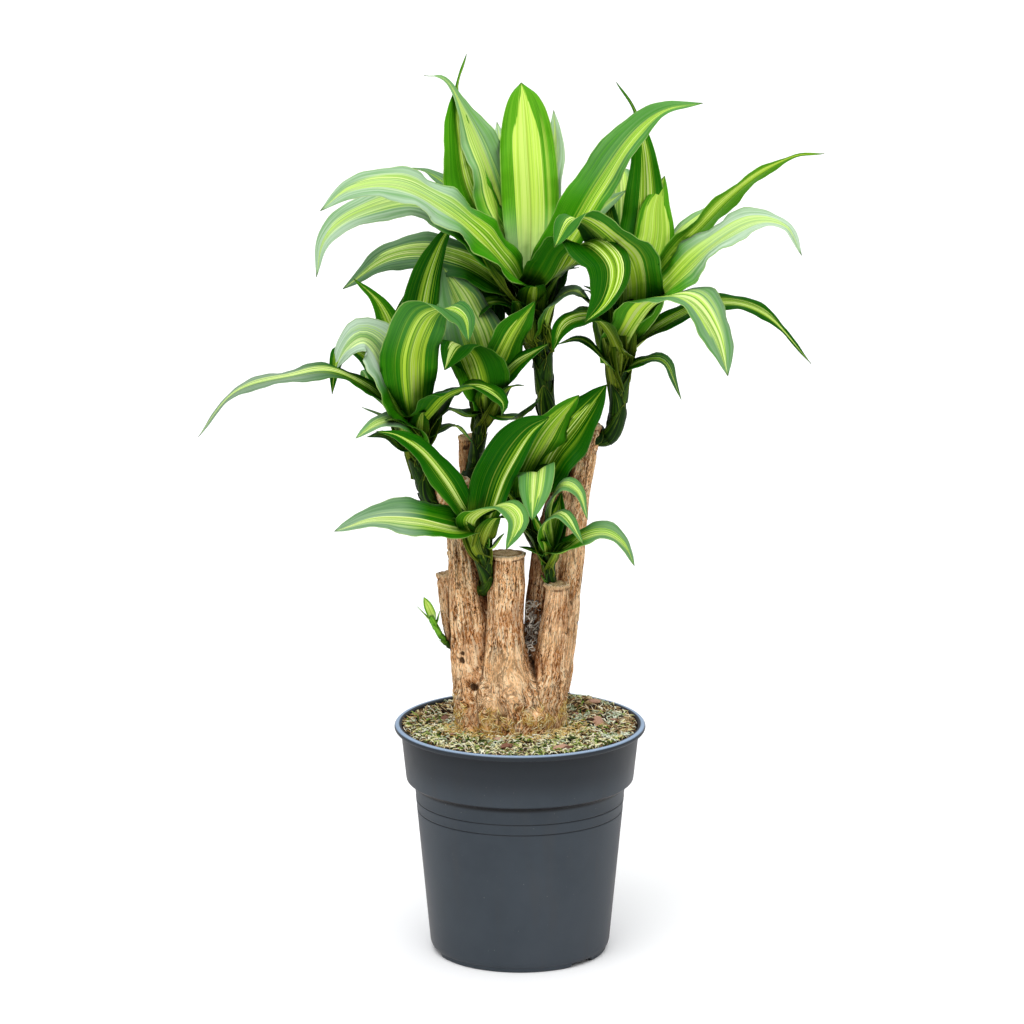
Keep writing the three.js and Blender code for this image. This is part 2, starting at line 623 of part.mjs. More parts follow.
function bladeSolid(stemCurve, [seat, width, bearing, roll, ...points], random) {
  const crown = stemCurve.getPointAt(1);
  const midrib = curveThrough(midribPoints(stemCurve, crown, seat, bearing, points));
  const length = midrib.getLength();
  const steps = Math.max(4, Math.round(length / BLADE_STEP));
  const level = vector(-Math.sin(radians(bearing)), Math.cos(radians(bearing)), 0);
  const waves = [random() * 6, random() * 6];
  const waveLength = 46 + 22 * random();
  const rows = [];
  const below = [];
  for (let step = 0; step <= steps; step += 1) {
    const along = step / steps;
    const centre = midrib.getPointAt(along);
    const tangent = midrib.getTangentAt(along);
    const across = level.clone().addScaledVector(tangent, -level.dot(tangent)).normalize();
    across.applyAxisAngle(tangent, radians(roll) * smoothstep(along, 0, 0.5));
    const face = tangent.clone().cross(across);
    const half = Math.max(TIP_WIDTH, width * bladeWidth(along)) / 2;
    const fold = radians(lerp(BLADE_FOLD_BASE, BLADE_FOLD_TIP, smoothstep(along, 0, 0.55)));
    const swell = Math.sin(Math.PI * along) * BLADE_WAVE * width;
    const edge = (sign, phase) => {
      const wave = swell * Math.sin((2 * Math.PI * along * length) / waveLength + phase);
      return centre.clone()
        .addScaledVector(across, sign * half * Math.cos(fold))
        .addScaledVector(face, half * Math.sin(fold) + wave);
    };
    rows.push([edge(1, waves[0]), centre, edge(-1, waves[1])]);
    below.push(face.multiplyScalar(-BLADE_THICKNESS));
  }
  return solidOf(sheet(rows, below));
}

function shootSolid(shoot, index) {
  const random = seededRandom(101 + index);
  const stemCurve = curveThrough(shoot.stem.map(([x, y, z]) => vector(x, y, z)));
  const blades = shoot.leaves.map((leaf) => bladeSolid(stemCurve, leaf, random));
  const axis = stemSolid(shoot, 0).add(heartSolid(shoot));
  return blades.reduce((sum, blade) => sum.add(blade), axis).simplify(MERGE);
}

// ---------------------------------------------------------------- the plant in its pot

const plant = new THREE.Group();
plant.add(meshOf("pot", potSolid(), potPlastic));
plant.add(meshOf("soil", soilSolid().subtract(footSolid(CLEARANCE)), pottingMix));
plant.add(meshOf("trunk", trunkSolid(), bark));
Object.entries(SHOOTS).forEach(([name, shoot], index) => {
  plant.add(meshOf(name, shootSolid(shoot, index), leafGreen));
});

export default plant;
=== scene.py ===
import math

import bmesh
import bpy
import numpy as np
from mathutils import Matrix, Vector, noise
from mathutils.bvhtree import BVHTree


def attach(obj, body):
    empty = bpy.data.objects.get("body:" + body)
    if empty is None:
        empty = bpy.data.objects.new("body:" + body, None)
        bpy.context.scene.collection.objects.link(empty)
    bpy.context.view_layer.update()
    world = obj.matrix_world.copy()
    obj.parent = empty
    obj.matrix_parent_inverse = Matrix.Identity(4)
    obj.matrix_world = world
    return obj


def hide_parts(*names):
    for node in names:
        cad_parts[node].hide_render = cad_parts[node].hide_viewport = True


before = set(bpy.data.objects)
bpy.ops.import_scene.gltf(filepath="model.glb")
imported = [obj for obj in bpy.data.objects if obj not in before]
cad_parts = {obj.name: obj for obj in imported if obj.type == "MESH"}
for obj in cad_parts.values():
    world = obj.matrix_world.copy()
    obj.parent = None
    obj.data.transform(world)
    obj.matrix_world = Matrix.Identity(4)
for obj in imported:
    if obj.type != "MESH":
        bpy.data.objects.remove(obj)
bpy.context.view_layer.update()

# Potted corn plant. Lengths in the tables are millimetres in the frame's axes, as in the CAD
# source; every mesh is made in metres.
MM = 0.001

# ---------------------------------------------------------------- the plant's own places

# Root crown: height, centre x and y, half width along x and y.
ROOT_CROWN = [
    (95, 0, 0, 12, 10), (130, -3, 0, 28, 22), (175, -7, -2, 44, 32), (214, -9, -4, 51, 38),
    (240, -9, -5, 54, 39), (262, -9, -5, 53, 37), (285, -8, -4, 46, 30), (305, -7, -3, 30, 19),
]

# Short stout roots: bearing, start height, reach, drop and radius at the start.
ROOTS = [(20, 190, 86, 60, 9), (95, 180, 74, 70, 8), (165, 195, 80, 55, 9), (235, 175, 76, 75, 8),
         (305, 185, 80, 62, 8)]

# Canes from foot to sawn top: x, y, z and radius.
CANES = {
    "left": [(-36, -3, 234, 22), (-43, -5, 280, 22), (-47, -6, 330, 21), (-52.5, -6, 375, 15.5),
             (-57, -6, 410, 12), (-61, -6, 436, 14), (-64, -5, 450, 18.5), (-65, -5, 462, 18)],
    "left_stub": [(-48, -3, 262, 13), (-57, -3, 300, 11), (-64.5, -2, 330, 10), (-69.5, 0, 371, 9.5)],
    "back_thin": [(-24, 10, 260, 14), (-32, 16, 310, 12), (-40, 24, 377, 10.5),
                  (-46, 28, 440, 9.5), (-49, 28, 498, 9.5)],
    "front": [(-5, -17, 234, 26), (-10, -23, 262, 23), (-13, -27, 302, 18.5), (-13, -28, 351, 17.5),
              (-13, -26, 384, 17), (-13, -26, 396, 17.8)],
    "middle_back": [(8, 2, 256, 15), (14, 4, 294, 14), (21, 4, 353, 14), (26, 2, 397, 14),
                    (36, 9, 432, 13.5), (40, 12, 452, 13.5)],
    "right": [(26, 3, 236, 18), (34, 6, 275, 16.5), (39, 8, 312, 15.5), (45, 12, 370, 14.5),
              (49, 14, 418, 14), (56, 16, 457, 12.5), (61, 16, 488, 12), (64, 16, 500, 13),
              (65, 16, 512, 12)],
    "right_stub": [(18, -14, 238, 19), (24, -18, 268, 18), (29, -22, 305, 14), (33, -24, 338, 11.5),
                   (35, -24, 358, 10.5), (35, -24, 366, 10.5)],
}

# Leafy shoots. A stem is its axis from inside the cane to the crown, with its two end radii.
# A leaf is: depth of its seat under the crown, width, bearing, roll, the share of the width that
# its pale band takes with how far the band lies off the middle, darkness of its green with how
# much painted pale sheen (a painted reflection) it carries, how far its tip is drawn out (0 blunt,
# 1 long), then its midrib from the crown to the tip.
SHOOTS = {
    "shoot_top_left": {
        "radii": (8.5, 8),
        "stem": [(38, 10, 434), (41, 14, 459), (32, 16, 496), (24, 14, 535), (20, 14, 583),
                 (9, 15, 628)],
        "leaves": [
            (0, 55, 90, 0, (0.5, 0), (0.3, 0), 0, [(1, 19, 80), (-2, 41, 138), (-5, 63, 178),
                (-8, 85, 196)]),
            (8, 50, 112, 0, (0.2, 0.16), (0.42, 0), 1, [(-32, 16, 53), (-59, 25, 103), (-68, 31, 152),
                (-69, 36, 195), (-59, 28, 230)]),
            (4, 57, 100, 27, (0.34, -0.1), (0.34, 0.4), 1, [(-21, 24, 60.1), (-40, 36, 123.1),
                (-64, 33, 181.1), (-79, 30, 206.1), (-99, 28, 210.1)]),
            (14, 54, 205, -45, (0.4, 0.04), (0.45, 0.75), 0.3, [(-35, -37, 54), (-69, -57, 90),
                (-119, -75, 121), (-163, -85, 120), (-192, -91, 101)]),
            (20, 44, 190, -50, (0.42, 0), (0.45, 0.85), 0.35, [(-63, -19, 75), (-109, -31, 101),
                (-161, -41, 90), (-190, -45, 67), (-198, -47, 32)]),
            (26, 46, 185, -48, (0.36, 0), (0.75, 0.25), 0.35, [(-46, 16, 26.3), (-89, 18, 42.3),
                (-132, 16, 39.3), (-176, 12, 10.3)]),
            (30, 38, 215, -20, (0.26, 0.1), (1, 0), 0.2, [(-30, -23, 23), (-48, -31, 55),
                (-68, -33, 80)]),
            (10, 34, 150, 0, (0.3, 0), (0.6, 0.3), 0.5, [(-49, 40, 76), (-92, 65, 110), (-117, 77, 115),
                (-129, 83, 106)]),
            (6, 34, 70, 0, (0.4, 0), (0.25, 0.9), 0.3, [(15, 40, 95), (24, 70, 138), (23, 90, 169)]),
            (4, 34, 98, 0, (0.4, 0), (0.25, 0.9), 0.3, [(-17, 55, 93), (-27, 85, 136),
                (-31, 103, 156)]),
            (12, 44, 88, 0, (0.4, 0), (0.5, 0.1), 0.3, [(6, 70, 72), (6, 110, 109), (5, 150, 107)]),
            (6, 56, 285, 0, (0.3, -0.2), (0.8, 0), 0.2, [(20, -35, 30), (33, -55, 56), (51, -75, 66),
                (70, -93, 50), (67, -101, 24), (50, -105, 0)]),
            (2, 43, 20, 45, (0.28, 0.15), (0.44, 0.15), 0.5, [(38, -11, 73), (64, -7, 117),
                (94, -9, 160), (124, -15, 184), (160, -23, 191)]),
            (44, 38, 340, 10, (0.4, 0), (0.75, 0.2), 0.3, [(20, -10, -6), (30, -18, 8), (44, -24, 14),
                (58, -28, 2)]),
            (8, 34, 40, 20, (0.5, 0), (0.4, 0.5), 0.3, [(31, 15, 54), (59, 31, 78), (91, 45, 99)]),
            (6, 34, 60, 20, (0.5, 0), (0.45, 0.5), 0.3, [(32, 39, 61), (46, 62, 90), (58, 80, 112)]),
            (30, 42, 170, 0, (0.3, 0), (0.82, 0), 0.3, [(-26, 27, 11), (-54, 53, 12), (-77, 65, -6)]),
            (36, 46, 200, -15, (0.3, 0), (0.82, 0), 0.3, [(-20, 4, -4), (-44, 12, -6), (-70, 20, -26)]),
            (46, 40, 120, 0, (0.3, 0), (0.82, 0), 0.3, [(-14, 26, 0), (-26, 48, 12), (-40, 66, 4)]),
        ],
    },
    "shoot_top_right": {
        "radii": (8.5, 7.5),
        "stem": [(66, 16, 500), (77, 15, 496), (87, 14, 504), (92, 13, 523), (94, 12, 554),
                 (92, 10, 588)],
        "leaves": [
            (6, 66, 245, 0, (0.36, 0), (0.6, 0.05), 0.2, [(10, -24, 43), (8, -42, 79), (-6, -62, 103),
                (-42, -78, 132), (-61, -90, 108)]),
            (4, 44, 82, 0, (0.3, 0.05), (0.6, 0), 1, [(21, 20, 97), (25, 38, 160), (17, 50, 211),
                (-2, 48, 242)]),
            (2, 44, 75, 0, (0.72, 0), (0.34, 0), 0.2, [(31, 6, 89), (36, 22, 129), (44, 42, 154)]),
            (6, 32, 10, -56, (0.2, 0.15), (0.42, 0), 0.7, [(39, -6, 68), (76, -10, 111),
                (117, -18, 154), (158, -26, 181), (189, -32, 186)]),
            (10, 58, 350, 30, (0.46, 0), (0.4, 1), 0.6, [(49, -24, 61), (86, -40, 101), (122, -54, 125),
                (152, -64, 123), (167, -70, 97)]),
            (16, 66, 320, 0, (0.46, 0), (0.5, 0.35), 0.1, [(20, -34, 30), (37, -56, 52), (64, -74, 55),
                (86, -88, 29), (99, -96, -11)]),
            (24, 24, 5, 35, (0.3, 0), (0.82, 0), 0.5, [(41, 4, 17), (91, 10, 38), (138, 8, 28),
                (182, 0, -18)]),
            (36, 22, 350, 15, (0.3, 0), (0.75, 0.1), 0.3, [(22, -13, -14), (43, -20, -13),
                (59, -26, -47)]),
            (38, 19, 190, -15, (0.3, 0), (0.8, 0), 0.3, [(-17, -13, -8), (-36, -20, 9), (-58, -24, 5)]),
            (22, 46, 205, -10, (0.4, 0), (0.85, 0), 0.2, [(-11, -30, 17), (-27, -46, 34),
                (-50, -56, 30), (-62, -62, 6)]),
            (6, 36, 120, 0, (0.4, 0), (0.75, 0), 0.3, [(-7, 26, 81), (-11, 48, 125), (-5, 64, 143)]),
            (8, 38, 40, 0, (0.5, 0), (0.3, 0.5), 0.3, [(51, 26, 88), (99, 54, 132)]),
            (10, 40, 95, 0, (0.4, 0), (0.45, 0.3), 0.3, [(5, 60, 104), (5, 98, 146), (4, 140, 145)]),
        ],
    },
    "shoot_mid_left": {
        "radii": (8, 7),
        "stem": [(-70, -7, 440), (-79, -8, 441), (-86, -10, 447), (-92, -12, 463), (-97, -14, 485),
                 (-99, -16, 506)],
        "leaves": [
            (2, 56, 275, 0, (0.3, -0.05), (0.6, 0.1), 0.2, [(-3, -22, 39), (-3, -40, 85),
                (10, -56, 121), (30, -68, 133), (47, -76, 127), (52, -82, 105)]),
            (8, 66, 190, -42, (0.4, 0), (0.55, 1), 0.4, [(-22, -6, 50), (-33, -12, 84), (-47, -16, 97),
                (-62, -20, 88), (-74, -22, 68)]),
            (2, 34, 110, 0, (0.24, 0), (0.55, 0), 0.6, [(-16, 18, 79), (-32, 24, 120), (-57, 28, 145)]),
            (12, 28, 195, -20, (0.18, 0.16), (0.8, 0.5), 0.6, [(-34, -18, 40), (-73, -34, 66),
                (-114, -48, 65), (-164, -60, 53), (-198, -70, 14)]),
            (4, 54, 325, 0, (0.3, 0), (0.82, 0), 0.3, [(18, -20, 27), (36, -40, 48), (60, -60, 58),
                (82, -76, 48), (82, -80, 36)]),
            (14, 20, 30, 0, (0.3, 0), (0.65, 0.1), 0.3, [(24, 12, 2), (39, 18, 6), (55, 20, -11)]),
            (8, 30, 200, -20, (0.45, 0), (0.45, 0.4), 0.3, [(-11, -18, 17), (-31, -30, 19),
                (-54, -38, 6)]),
            (18, 18, 190, -20, (0.3, 0), (0.75, 0.1), 0.3, [(-14, -8, -10), (-28, -16, 4),
                (-44, -22, 4)]),
            (10, 20, 165, 0, (0.3, 0), (0.6, 0.4), 0.3, [(-29, 18, 14), (-50, 24, 23)]),
            (2, 38, 100, 0, (0.3, 0.1), (0.75, 0), 0.3, [(-2, 16, 69), (7, 24, 134), (22, 26, 176),
                (38, 27, 201)]),
            (6, 28, 80, 0, (0.3, 0), (0.7, 0), 0.3, [(-12, 42, 89), (-2, 60, 138)]),
            (12, 36, 140, 0, (0.4, 0), (0.55, 0.2), 0.3, [(-24, 46, 30), (-42, 71, 49), (-52, 91, 31)]),
            (10, 22, 275, 0, (0.4, 0), (0.8, 0), 0.2, [(-26, 6, 44), (-44, 0, 78), (-66, -12, 84),
                (-73, -22, 72), (-76, -24, 45)]),
        ],
    },
    "shoot_mid_centre": {
        "radii": (6.5, 6.5),
        "stem": [(-51, 27, 446), (-50, 26, 457), (-45, 20, 468), (-40, 14, 491), (-34, 8, 531)],
        "leaves": [
            (2, 62, 110, 0, (0.46, 0.1), (0.44, 0.35), 0.2, [(-6, -2, 46), (-20, 3, 88),
                (-39, 13, 130)]),
            (2, 46, 300, 0, (0.34, 0), (0.6, 0), 0.2, [(13, -12, 38), (28, -22, 72), (48, -30, 105)]),
            (4, 56, 250, 0, (0.3, 0.08), (0.8, 0), 0.2, [(-3, -26, 27), (-11, -44, 56), (-23, -60, 67),
                (-36, -70, 47)]),
            (8, 22, 20, 25, (0.3, 0), (0.7, 0), 0.3, [(26, -6, 35), (45, -12, 51), (61, -16, 62)]),
            (16, 24, 200, 0, (0.35, 0), (0.65, 0.2), 0.3, [(-18, -6, -9), (-34, -12, -2),
                (-49, -16, -15)]),
            (14, 24, 330, 0, (0.35, 0), (0.65, 0.15), 0.3, [(15, -8, -11), (35, -16, -8),
                (53, -18, 10)]),
            (8, 38, 80, 0, (0.4, 0), (0.6, 0.1), 0.3, [(9, 42, 35), (15, 70, 54), (19, 92, 40)]),
            (4, 46, 85, 0, (0.3, 0), (0.8, 0), 0.3, [(-4, 34, 48), (2, 50, 96), (-4, 60, 136)]),
            (6, 32, 140, 0, (0.3, 0), (0.82, 0), 0.3, [(-14, 10, 20), (-26, 18, 50), (-34, 24, 82)]),
        ],
    },
    "shoot_low_centre": {
        "radii": (6.5, 6.5),
        "stem": [(-40, -10, 352), (-35, -16, 357), (-30.5, -28, 367), (-33, -40, 385), (-39, -50, 416)],
        "leaves": [
            (6, 46, 185, -35, (0.26, -0.1), (0.6, 0.5), 0.4, [(-31, -12, 14), (-61, -26, 24),
                (-98, -38, 27), (-133, -46, 17)]),
            (2, 32, 150, -20, (0.22, 0), (0.75, 0), 0.4, [(-17, -4, 32), (-32, -10, 58), (-52, -16, 85),
                (-74, -22, 102), (-94, -24, 107)]),
            (2, 40, 90, 0, (0.12, 0.22), (0.8, 0), 0.1, [(5, 4, 27), (14, 4, 58), (29, 2, 86),
                (46, 2, 105), (66, 2, 115)]),
            (6, 36, 300, 0, (0.45, 0), (0.5, 0.15), 0.2, [(-4, -16, 19), (10, -32, 34), (27, -44, 38),
                (36, -52, 27), (26, -56, 2)]),
            (12, 18, 0, 0, (0.35, 0), (0.5, 0.2), 0.3, [(13, 0, -10), (24, -2, 5)]),
        ],
    },
    "shoot_inner": {
        "radii": (6.5, 6.5),
        "stem": [(27, 0, 376), (23, -2, 387), (16, -4, 400), (8, -8, 418), (1, -10, 436)],
        "leaves": [
            (2, 54, 300, 0, (0.42, 0), (0.55, 0), 0.2, [(4, -6, 30), (16, -10, 57), (30, -14, 81),
                (54, -18, 112)]),
            (2, 54, 60, 0, (0.24, 0), (0.82, 0), 0.2, [(18, 6, 25), (34, 4, 54), (53, 0, 80),
                (80, -4, 119)]),
            (6, 38, 270, 15, (0.45, 0), (0.45, 0.2), 0.1, [(6, -10, 22), (14, -28, 40), (14, -46, 37),
                (10, -58, 1)]),
        ],
    },
    "shoot_low_right": {
        "radii": (5, 5),
        "stem": [(34, -22, 342), (33, -21, 350), (30, -20, 362), (28, -22, 376), (26, -25, 394)],
        "leaves": [
            (2, 24, 340, 20, (0.4, 0), (0.5, 0.25), 0.2, [(2, -13, 46), (13, -21, 71), (28, -27, 66),
                (37, -31, 41)]),
            (4, 24, 330, 10, (0.4, 0), (0.5, 0.2), 0.2, [(-2, -23, 34), (13, -33, 46), (33, -41, 20)]),
            (6, 33, 350, 20, (0.4, 0), (0.55, 0.3), 0.3, [(17, -11, 7), (34, -17, 21), (54, -23, 26),
                (71, -27, 16), (81, -29, -4)]),
            (8, 14, 180, 0, (0.3, 0), (0.6, 0), 0.3, [(-12, -5, 4), (-27, -9, 10)]),
            (4, 22, 210, 0, (0.4, 0), (0.7, 0), 0.3, [(-7, -13, 24), (-15, -21, 46)]),
            (4, 22, 60, 0, (0.4, 0), (0.7, 0), 0.3, [(8, 9, 31), (13, 15, 57)]),
            (20, 8, 190, 0, (0.2, 0), (0.7, 0), 0.3, [(-2, -1, -26), (-6, -3, -19)]),
        ],
    },
    "sprout_left": {
        "radii": (2.6, 2.6),
        "stem": [(-58, -2, 296), (-66, -3, 300), (-71.5, -5, 305), (-77, -8, 314), (-83, -12, 327)],
        "leaves": [
            (0, 9, 100, 0, (0.6, 0), (0.15, 0), 0.1, [(-4, -1, 14), (-8, -2, 23)]),
            (6, 6, 180, 0, (0.3, 0), (0.4, 0), 0.5, [(-5, -1, 4), (-14, -2, 14)]),
            (4, 5, 20, 0, (0.3, 0), (0.3, 0), 0.3, [(4, 1, -2), (7, 2, 9)]),
        ],
    },
}

# Pot: its rim, collar, step, body, grooves and foot, as (radius, height) or single sizes.
RIM_RADIUS, POT_HEIGHT, BEAD_RADIUS, WALL = 119.9, 223.5, 2.9, 2
COLLAR_TOP, COLLAR_FOOT, SHOULDER = (113.6, 216), (109, 173), (107, 168.8)
BODY_TOP, BODY_FOOT = (101, 166), (86.2, 9)
GROOVES, GROOVE_DEPTH = (150.4, 140), 0.55
FOOT_OUTER, FOOT_INNER, DISC_RADIUS, CHANNEL = 82, 68, 32, 4
SLOT_BEARINGS, SLOT_WIDTH = (-44, 76, 196), 27
DRAIN_HOLES, DRAIN_RADIUS = 6, 5
POT_SIDES = 192

# ---------------------------------------------------------------- helpers


def smoothstep(value, low, high):
    part = np.clip((np.asarray(value, float) - low) / (high - low), 0, 1)
    return part * part * (3 - 2 * part)


def mix(a, b, share):
    return a + (b - a) * share


def seeded(state):
    """Draws between 0 and 1, the same on every run and the same as in the CAD source."""
    while True:
        state = (state * 1664525 + 1013904223) % 4294967296
        yield state / 4294967296


class Path:
    """Smooth curve through points, walked by its length from 0 to 1."""

    DIVISIONS = 200

    def __init__(self, points):
        points = np.array(points, float)
        self.spans = len(points) - 1
        self.points = np.vstack([2 * points[0] - points[1], points, 2 * points[-1] - points[-2]])
        self.places = np.linspace(0, 1, self.DIVISIONS + 1)
        steps = np.linalg.norm(np.diff(self.raw(self.places), axis=0), axis=1)
        self.walked = np.concatenate([[0], np.cumsum(steps)])
        self.length = self.walked[-1]

    def raw(self, place):
        place = np.clip(np.atleast_1d(place), 0, 1) * self.spans
        span = np.minimum(place.astype(int), self.spans - 1)
        w = (place - span)[:, None]
        a, b, c, d = (self.points[span + step] for step in range(4))
        return b + 0.5 * w * (c - a + w * (2 * a - 5 * b + 4 * c - d + w * (3 * (b - c) + d - a)))

    def place(self, along):
        return np.interp(np.atleast_1d(along) * self.length, self.walked, self.places)

    def at(self, along):
        return self.raw(self.place(along))

    def tangent(self, along):
        near = 0.002
        along = np.atleast_1d(along)
        step = self.at(np.minimum(along + near, 1)) - self.at(np.maximum(along - near, 0))
        return unit(step)


def unit(vectors):
    return vectors / np.linalg.norm(vectors, axis=-1, keepdims=True)


def turned(vectors, axes, angles):
    """Each vector turned about its axis by its angle."""
    cos, sin = np.cos(angles)[:, None], np.sin(angles)[:, None]
    dots = np.sum(axes * vectors, axis=1, keepdims=True)
    return vectors * cos + np.cross(axes, vectors) * sin + axes * dots * (1 - cos)


def piece_from(name, points, faces, scale=MM, smooth=True):
    mesh = bpy.data.meshes.new(name)
    mesh.from_pydata((np.asarray(points) * scale).tolist(), [], [list(map(int, f)) for f in faces])
    mesh.polygons.foreach_set("use_smooth", [smooth] * len(mesh.polygons))
    mesh.update()
    piece = bpy.data.objects.new(name, mesh)
    bpy.context.scene.collection.objects.link(piece)
    return piece


def piece_of(made, name):
    """Piece from an edited mesh, which is freed."""
    mesh = bpy.data.meshes.new(name)
    made.to_mesh(mesh)
    made.free()
    piece = bpy.data.objects.new(name, mesh)
    bpy.context.scene.collection.objects.link(piece)
    return piece


def put_attribute(piece, name, values, kind="FLOAT"):
    layer = piece.data.attributes.new(name, kind, "POINT")
    key = "value" if kind == "FLOAT" else "vector"
    layer.data.foreach_set(key, np.asarray(values, np.float32).ravel())


def put_uv(piece, name, values):
    """UV map from one pair for each point."""
    layer = piece.data.uv_layers.new(name=name)
    corners = np.empty(len(piece.data.loops), int)
    piece.data.loops.foreach_get("vertex_index", corners)
    layer.data.foreach_set("uv", np.asarray(values, np.float32)[corners].ravel())


def points_of(piece):
    places = np.empty(len(piece.data.vertices) * 3)
    piece.data.vertices.foreach_get("co", places)
    return places.reshape(-1, 3)


def normals_of(piece):
    facing = np.empty(len(piece.data.vertices) * 3)
    piece.data.vertex_normals.foreach_get("vector", facing)
    return facing.reshape(-1, 3)


def applied(piece):
    """Replaces the mesh by what its modifiers make, and removes them."""
    graph = bpy.context.evaluated_depsgraph_get()
    mesh = bpy.data.meshes.new_from_object(piece.evaluated_get(graph))
    piece.modifiers.clear()
    piece.data = mesh
    return piece


def removed(piece):
    bpy.data.objects.remove(piece, do_unlink=True)


def tube(path, radius_at, steps, sides):
    """Points and faces of a closed tube; radius_at takes the place along and the angle."""
    along = np.linspace(0, 1, steps + 1)
    centres, tangents = path.at(along), path.tangent(along)
    angles = np.linspace(0, 2 * np.pi, sides, endpoint=False)
    across = np.array([1.0, 0, 0])
    rings = []
    for place, centre, tangent in zip(along, centres, tangents):
        across = across - tangent * np.dot(across, tangent)
        across /= np.linalg.norm(across)
        third = np.cross(tangent, across)
        radii = radius_at(place, angles) * np.ones(sides)
        rings.append(centre + radii[:, None] * (np.cos(angles)[:, None] * across
                                                + np.sin(angles)[:, None] * third))
    return loft(rings)


def loft(rings):
    sides = len(rings[0])
    points = np.vstack([*rings, rings[0].mean(axis=0), rings[-1].mean(axis=0)])
    foot, head = len(points) - 2, len(points) - 1
    last = (len(rings) - 1) * sides
    faces = []
    for side in range(sides):
        after = (side + 1) % sides
        for start in range(0, last, sides):
            faces.append((start + side, start + after, start + sides + after, start + sides + side))
        faces.append((foot, after, side))
        faces.append((head, last + side, last + after))
    return points, faces


def joined(parts):
    """One list of points and faces from several."""
    points, faces, count = [], [], 0
    for some_points, some_faces in parts:
        points.append(some_points)
        faces += [tuple(corner + count for corner in face) for face in some_faces]
        count += len(some_points)
    return np.vstack(points), faces


# ---------------------------------------------------------------- node helpers


def colour(code, alpha=1.0):
    """Linear colour of a six-digit screen colour."""
    parts = [int(code[i:i + 2], 16) / 255 for i in (1, 3, 5)]
    return tuple(p / 12.92 if p <= 0.04045 else ((p + 0.055) / 1.055) ** 2.4 for p in parts) + (alpha,)


def node(tree, kind, inputs=None, **settings):
    """Adds a node. An input that is a socket is linked, any other is set."""
    made = tree.nodes.new(kind)
    for name, value in settings.items():
        setattr(made, name, value)
    for key, value in (inputs or {}).items():
        if isinstance(value, bpy.types.NodeSocket):
            tree.links.new(value, made.inputs[key])
        else:
            made.inputs[key].default_value = value
    return made


def maths(tree, operation, a, b=0.0, c=0.0, clamp=False):
    return node(tree, "ShaderNodeMath", {0: a, 1: b, 2: c}, operation=operation,
                use_clamp=clamp).outputs[0]


def product(tree, first, *others):
    for factor in others:
        first = maths(tree, "MULTIPLY", first, factor)
    return first


def blend(tree, share, a, b, mode="MIX"):
    """Mix of two colours."""
    made = node(tree, "ShaderNodeMix", {0: share, 6: a, 7: b}, data_type="RGBA", blend_type=mode)
    return made.outputs[2]


def coat(tree, paint, share, code, mode="MIX"):
    """The paint with a share of another colour laid over it."""
    return blend(tree, share, paint, colour(code), mode)


def ramp(tree, factor, stops):
    made = node(tree, "ShaderNodeValToRGB", {"Fac": factor})
    elements = made.color_ramp.elements
    while len(elements) < len(stops):
        elements.new(1)
    for element, (place, code) in zip(elements, stops):
        element.position = place
        element.color = colour(code) if isinstance(code, str) else (code, code, code, 1)
    return made.outputs["Color"]


def span(tree, value, low, high, to_low=0.0, to_high=1.0, smooth=True):
    return node(tree, "ShaderNodeMapRange",
                {"Value": value, "From Min": low, "From Max": high, "To Min": to_low,
                 "To Max": to_high},
                interpolation_type="SMOOTHSTEP" if smooth else "LINEAR").outputs[0]


def line_at(tree, value, centre, width, most):
    """Share that is full where the value is at the centre, and fades over the width."""
    off = maths(tree, "ABSOLUTE", maths(tree, "SUBTRACT", value, centre))
    return span(tree, off, 0.0, width, most, 0.0)


def cloud(tree, where, scale, detail=2.0, roughness=0.5, distortion=0.0):
    return node(tree, "ShaderNodeTexNoise",
                {"Vector": where, "Scale": scale, "Detail": detail, "Roughness": roughness,
                 "Distortion": distortion}).outputs["Fac"]


def scaled(tree, vector, sizes):
    return node(tree, "ShaderNodeVectorMath", {0: vector, 1: sizes}, operation="MULTIPLY").outputs[0]


def packed(tree, x, y, z):
    return node(tree, "ShaderNodeCombineXYZ", {"X": x, "Y": y, "Z": z}).outputs[0]


def attribute(tree, name, output="Fac"):
    return node(tree, "ShaderNodeAttribute", attribute_name=name).outputs[output]


def object_place(tree):
    return node(tree, "ShaderNodeTexCoord").outputs["Object"]


def new_material(name):
    material = bpy.data.materials.new(name)
    material.use_nodes = True
    tree = material.node_tree
    tree.nodes.clear()
    surface = node(tree, "ShaderNodeBsdfPrincipled")
    out = node(tree, "ShaderNodeOutputMaterial")
    tree.links.new(surface.outputs[0], out.inputs["Surface"])
    return material, tree, surface


def connect(tree, surface, **sockets):
    """Links or sets sockets of the shader, named with underscores for spaces."""
    for name, value in sockets.items():
        socket = surface.inputs[name.replace("_", " ")]
        if isinstance(value, bpy.types.NodeSocket):
            tree.links.new(value, socket)
        else:
            socket.default_value = value


def bump(tree, height, distance, strength=1.0, under=None):
    inputs = {"Height": height, "Distance": distance, "Strength": strength}
    if under is not None:
        inputs["Normal"] = under
    return node(tree, "ShaderNodeBump", inputs).outputs[0]


# ---------------------------------------------------------------- finishes


# Colours from a young pale leaf to an old dark one: the green margins, then the lime band.
UPPER_GREENS = [(0.0, "#74b020"), (0.3, "#549c12"), (0.45, "#3a8a08"), (0.65, "#166602"),
                (1.0, "#033a00")]
UNDER_GREENS = [(0.0, "#86b832"), (0.3, "#5e9c1c"), (0.6, "#2a760a"), (1.0, "#0e4404")]
UPPER_LIMES = [(0.0, "#cfe676"), (0.4, "#bade48"), (0.75, "#a0c832"), (1.0, "#7fa61c")]
UNDER_LIMES = [(0.0, "#d4ea7c"), (0.4, "#bcdc46"), (0.75, "#a2c62e"), (1.0, "#84a01e")]


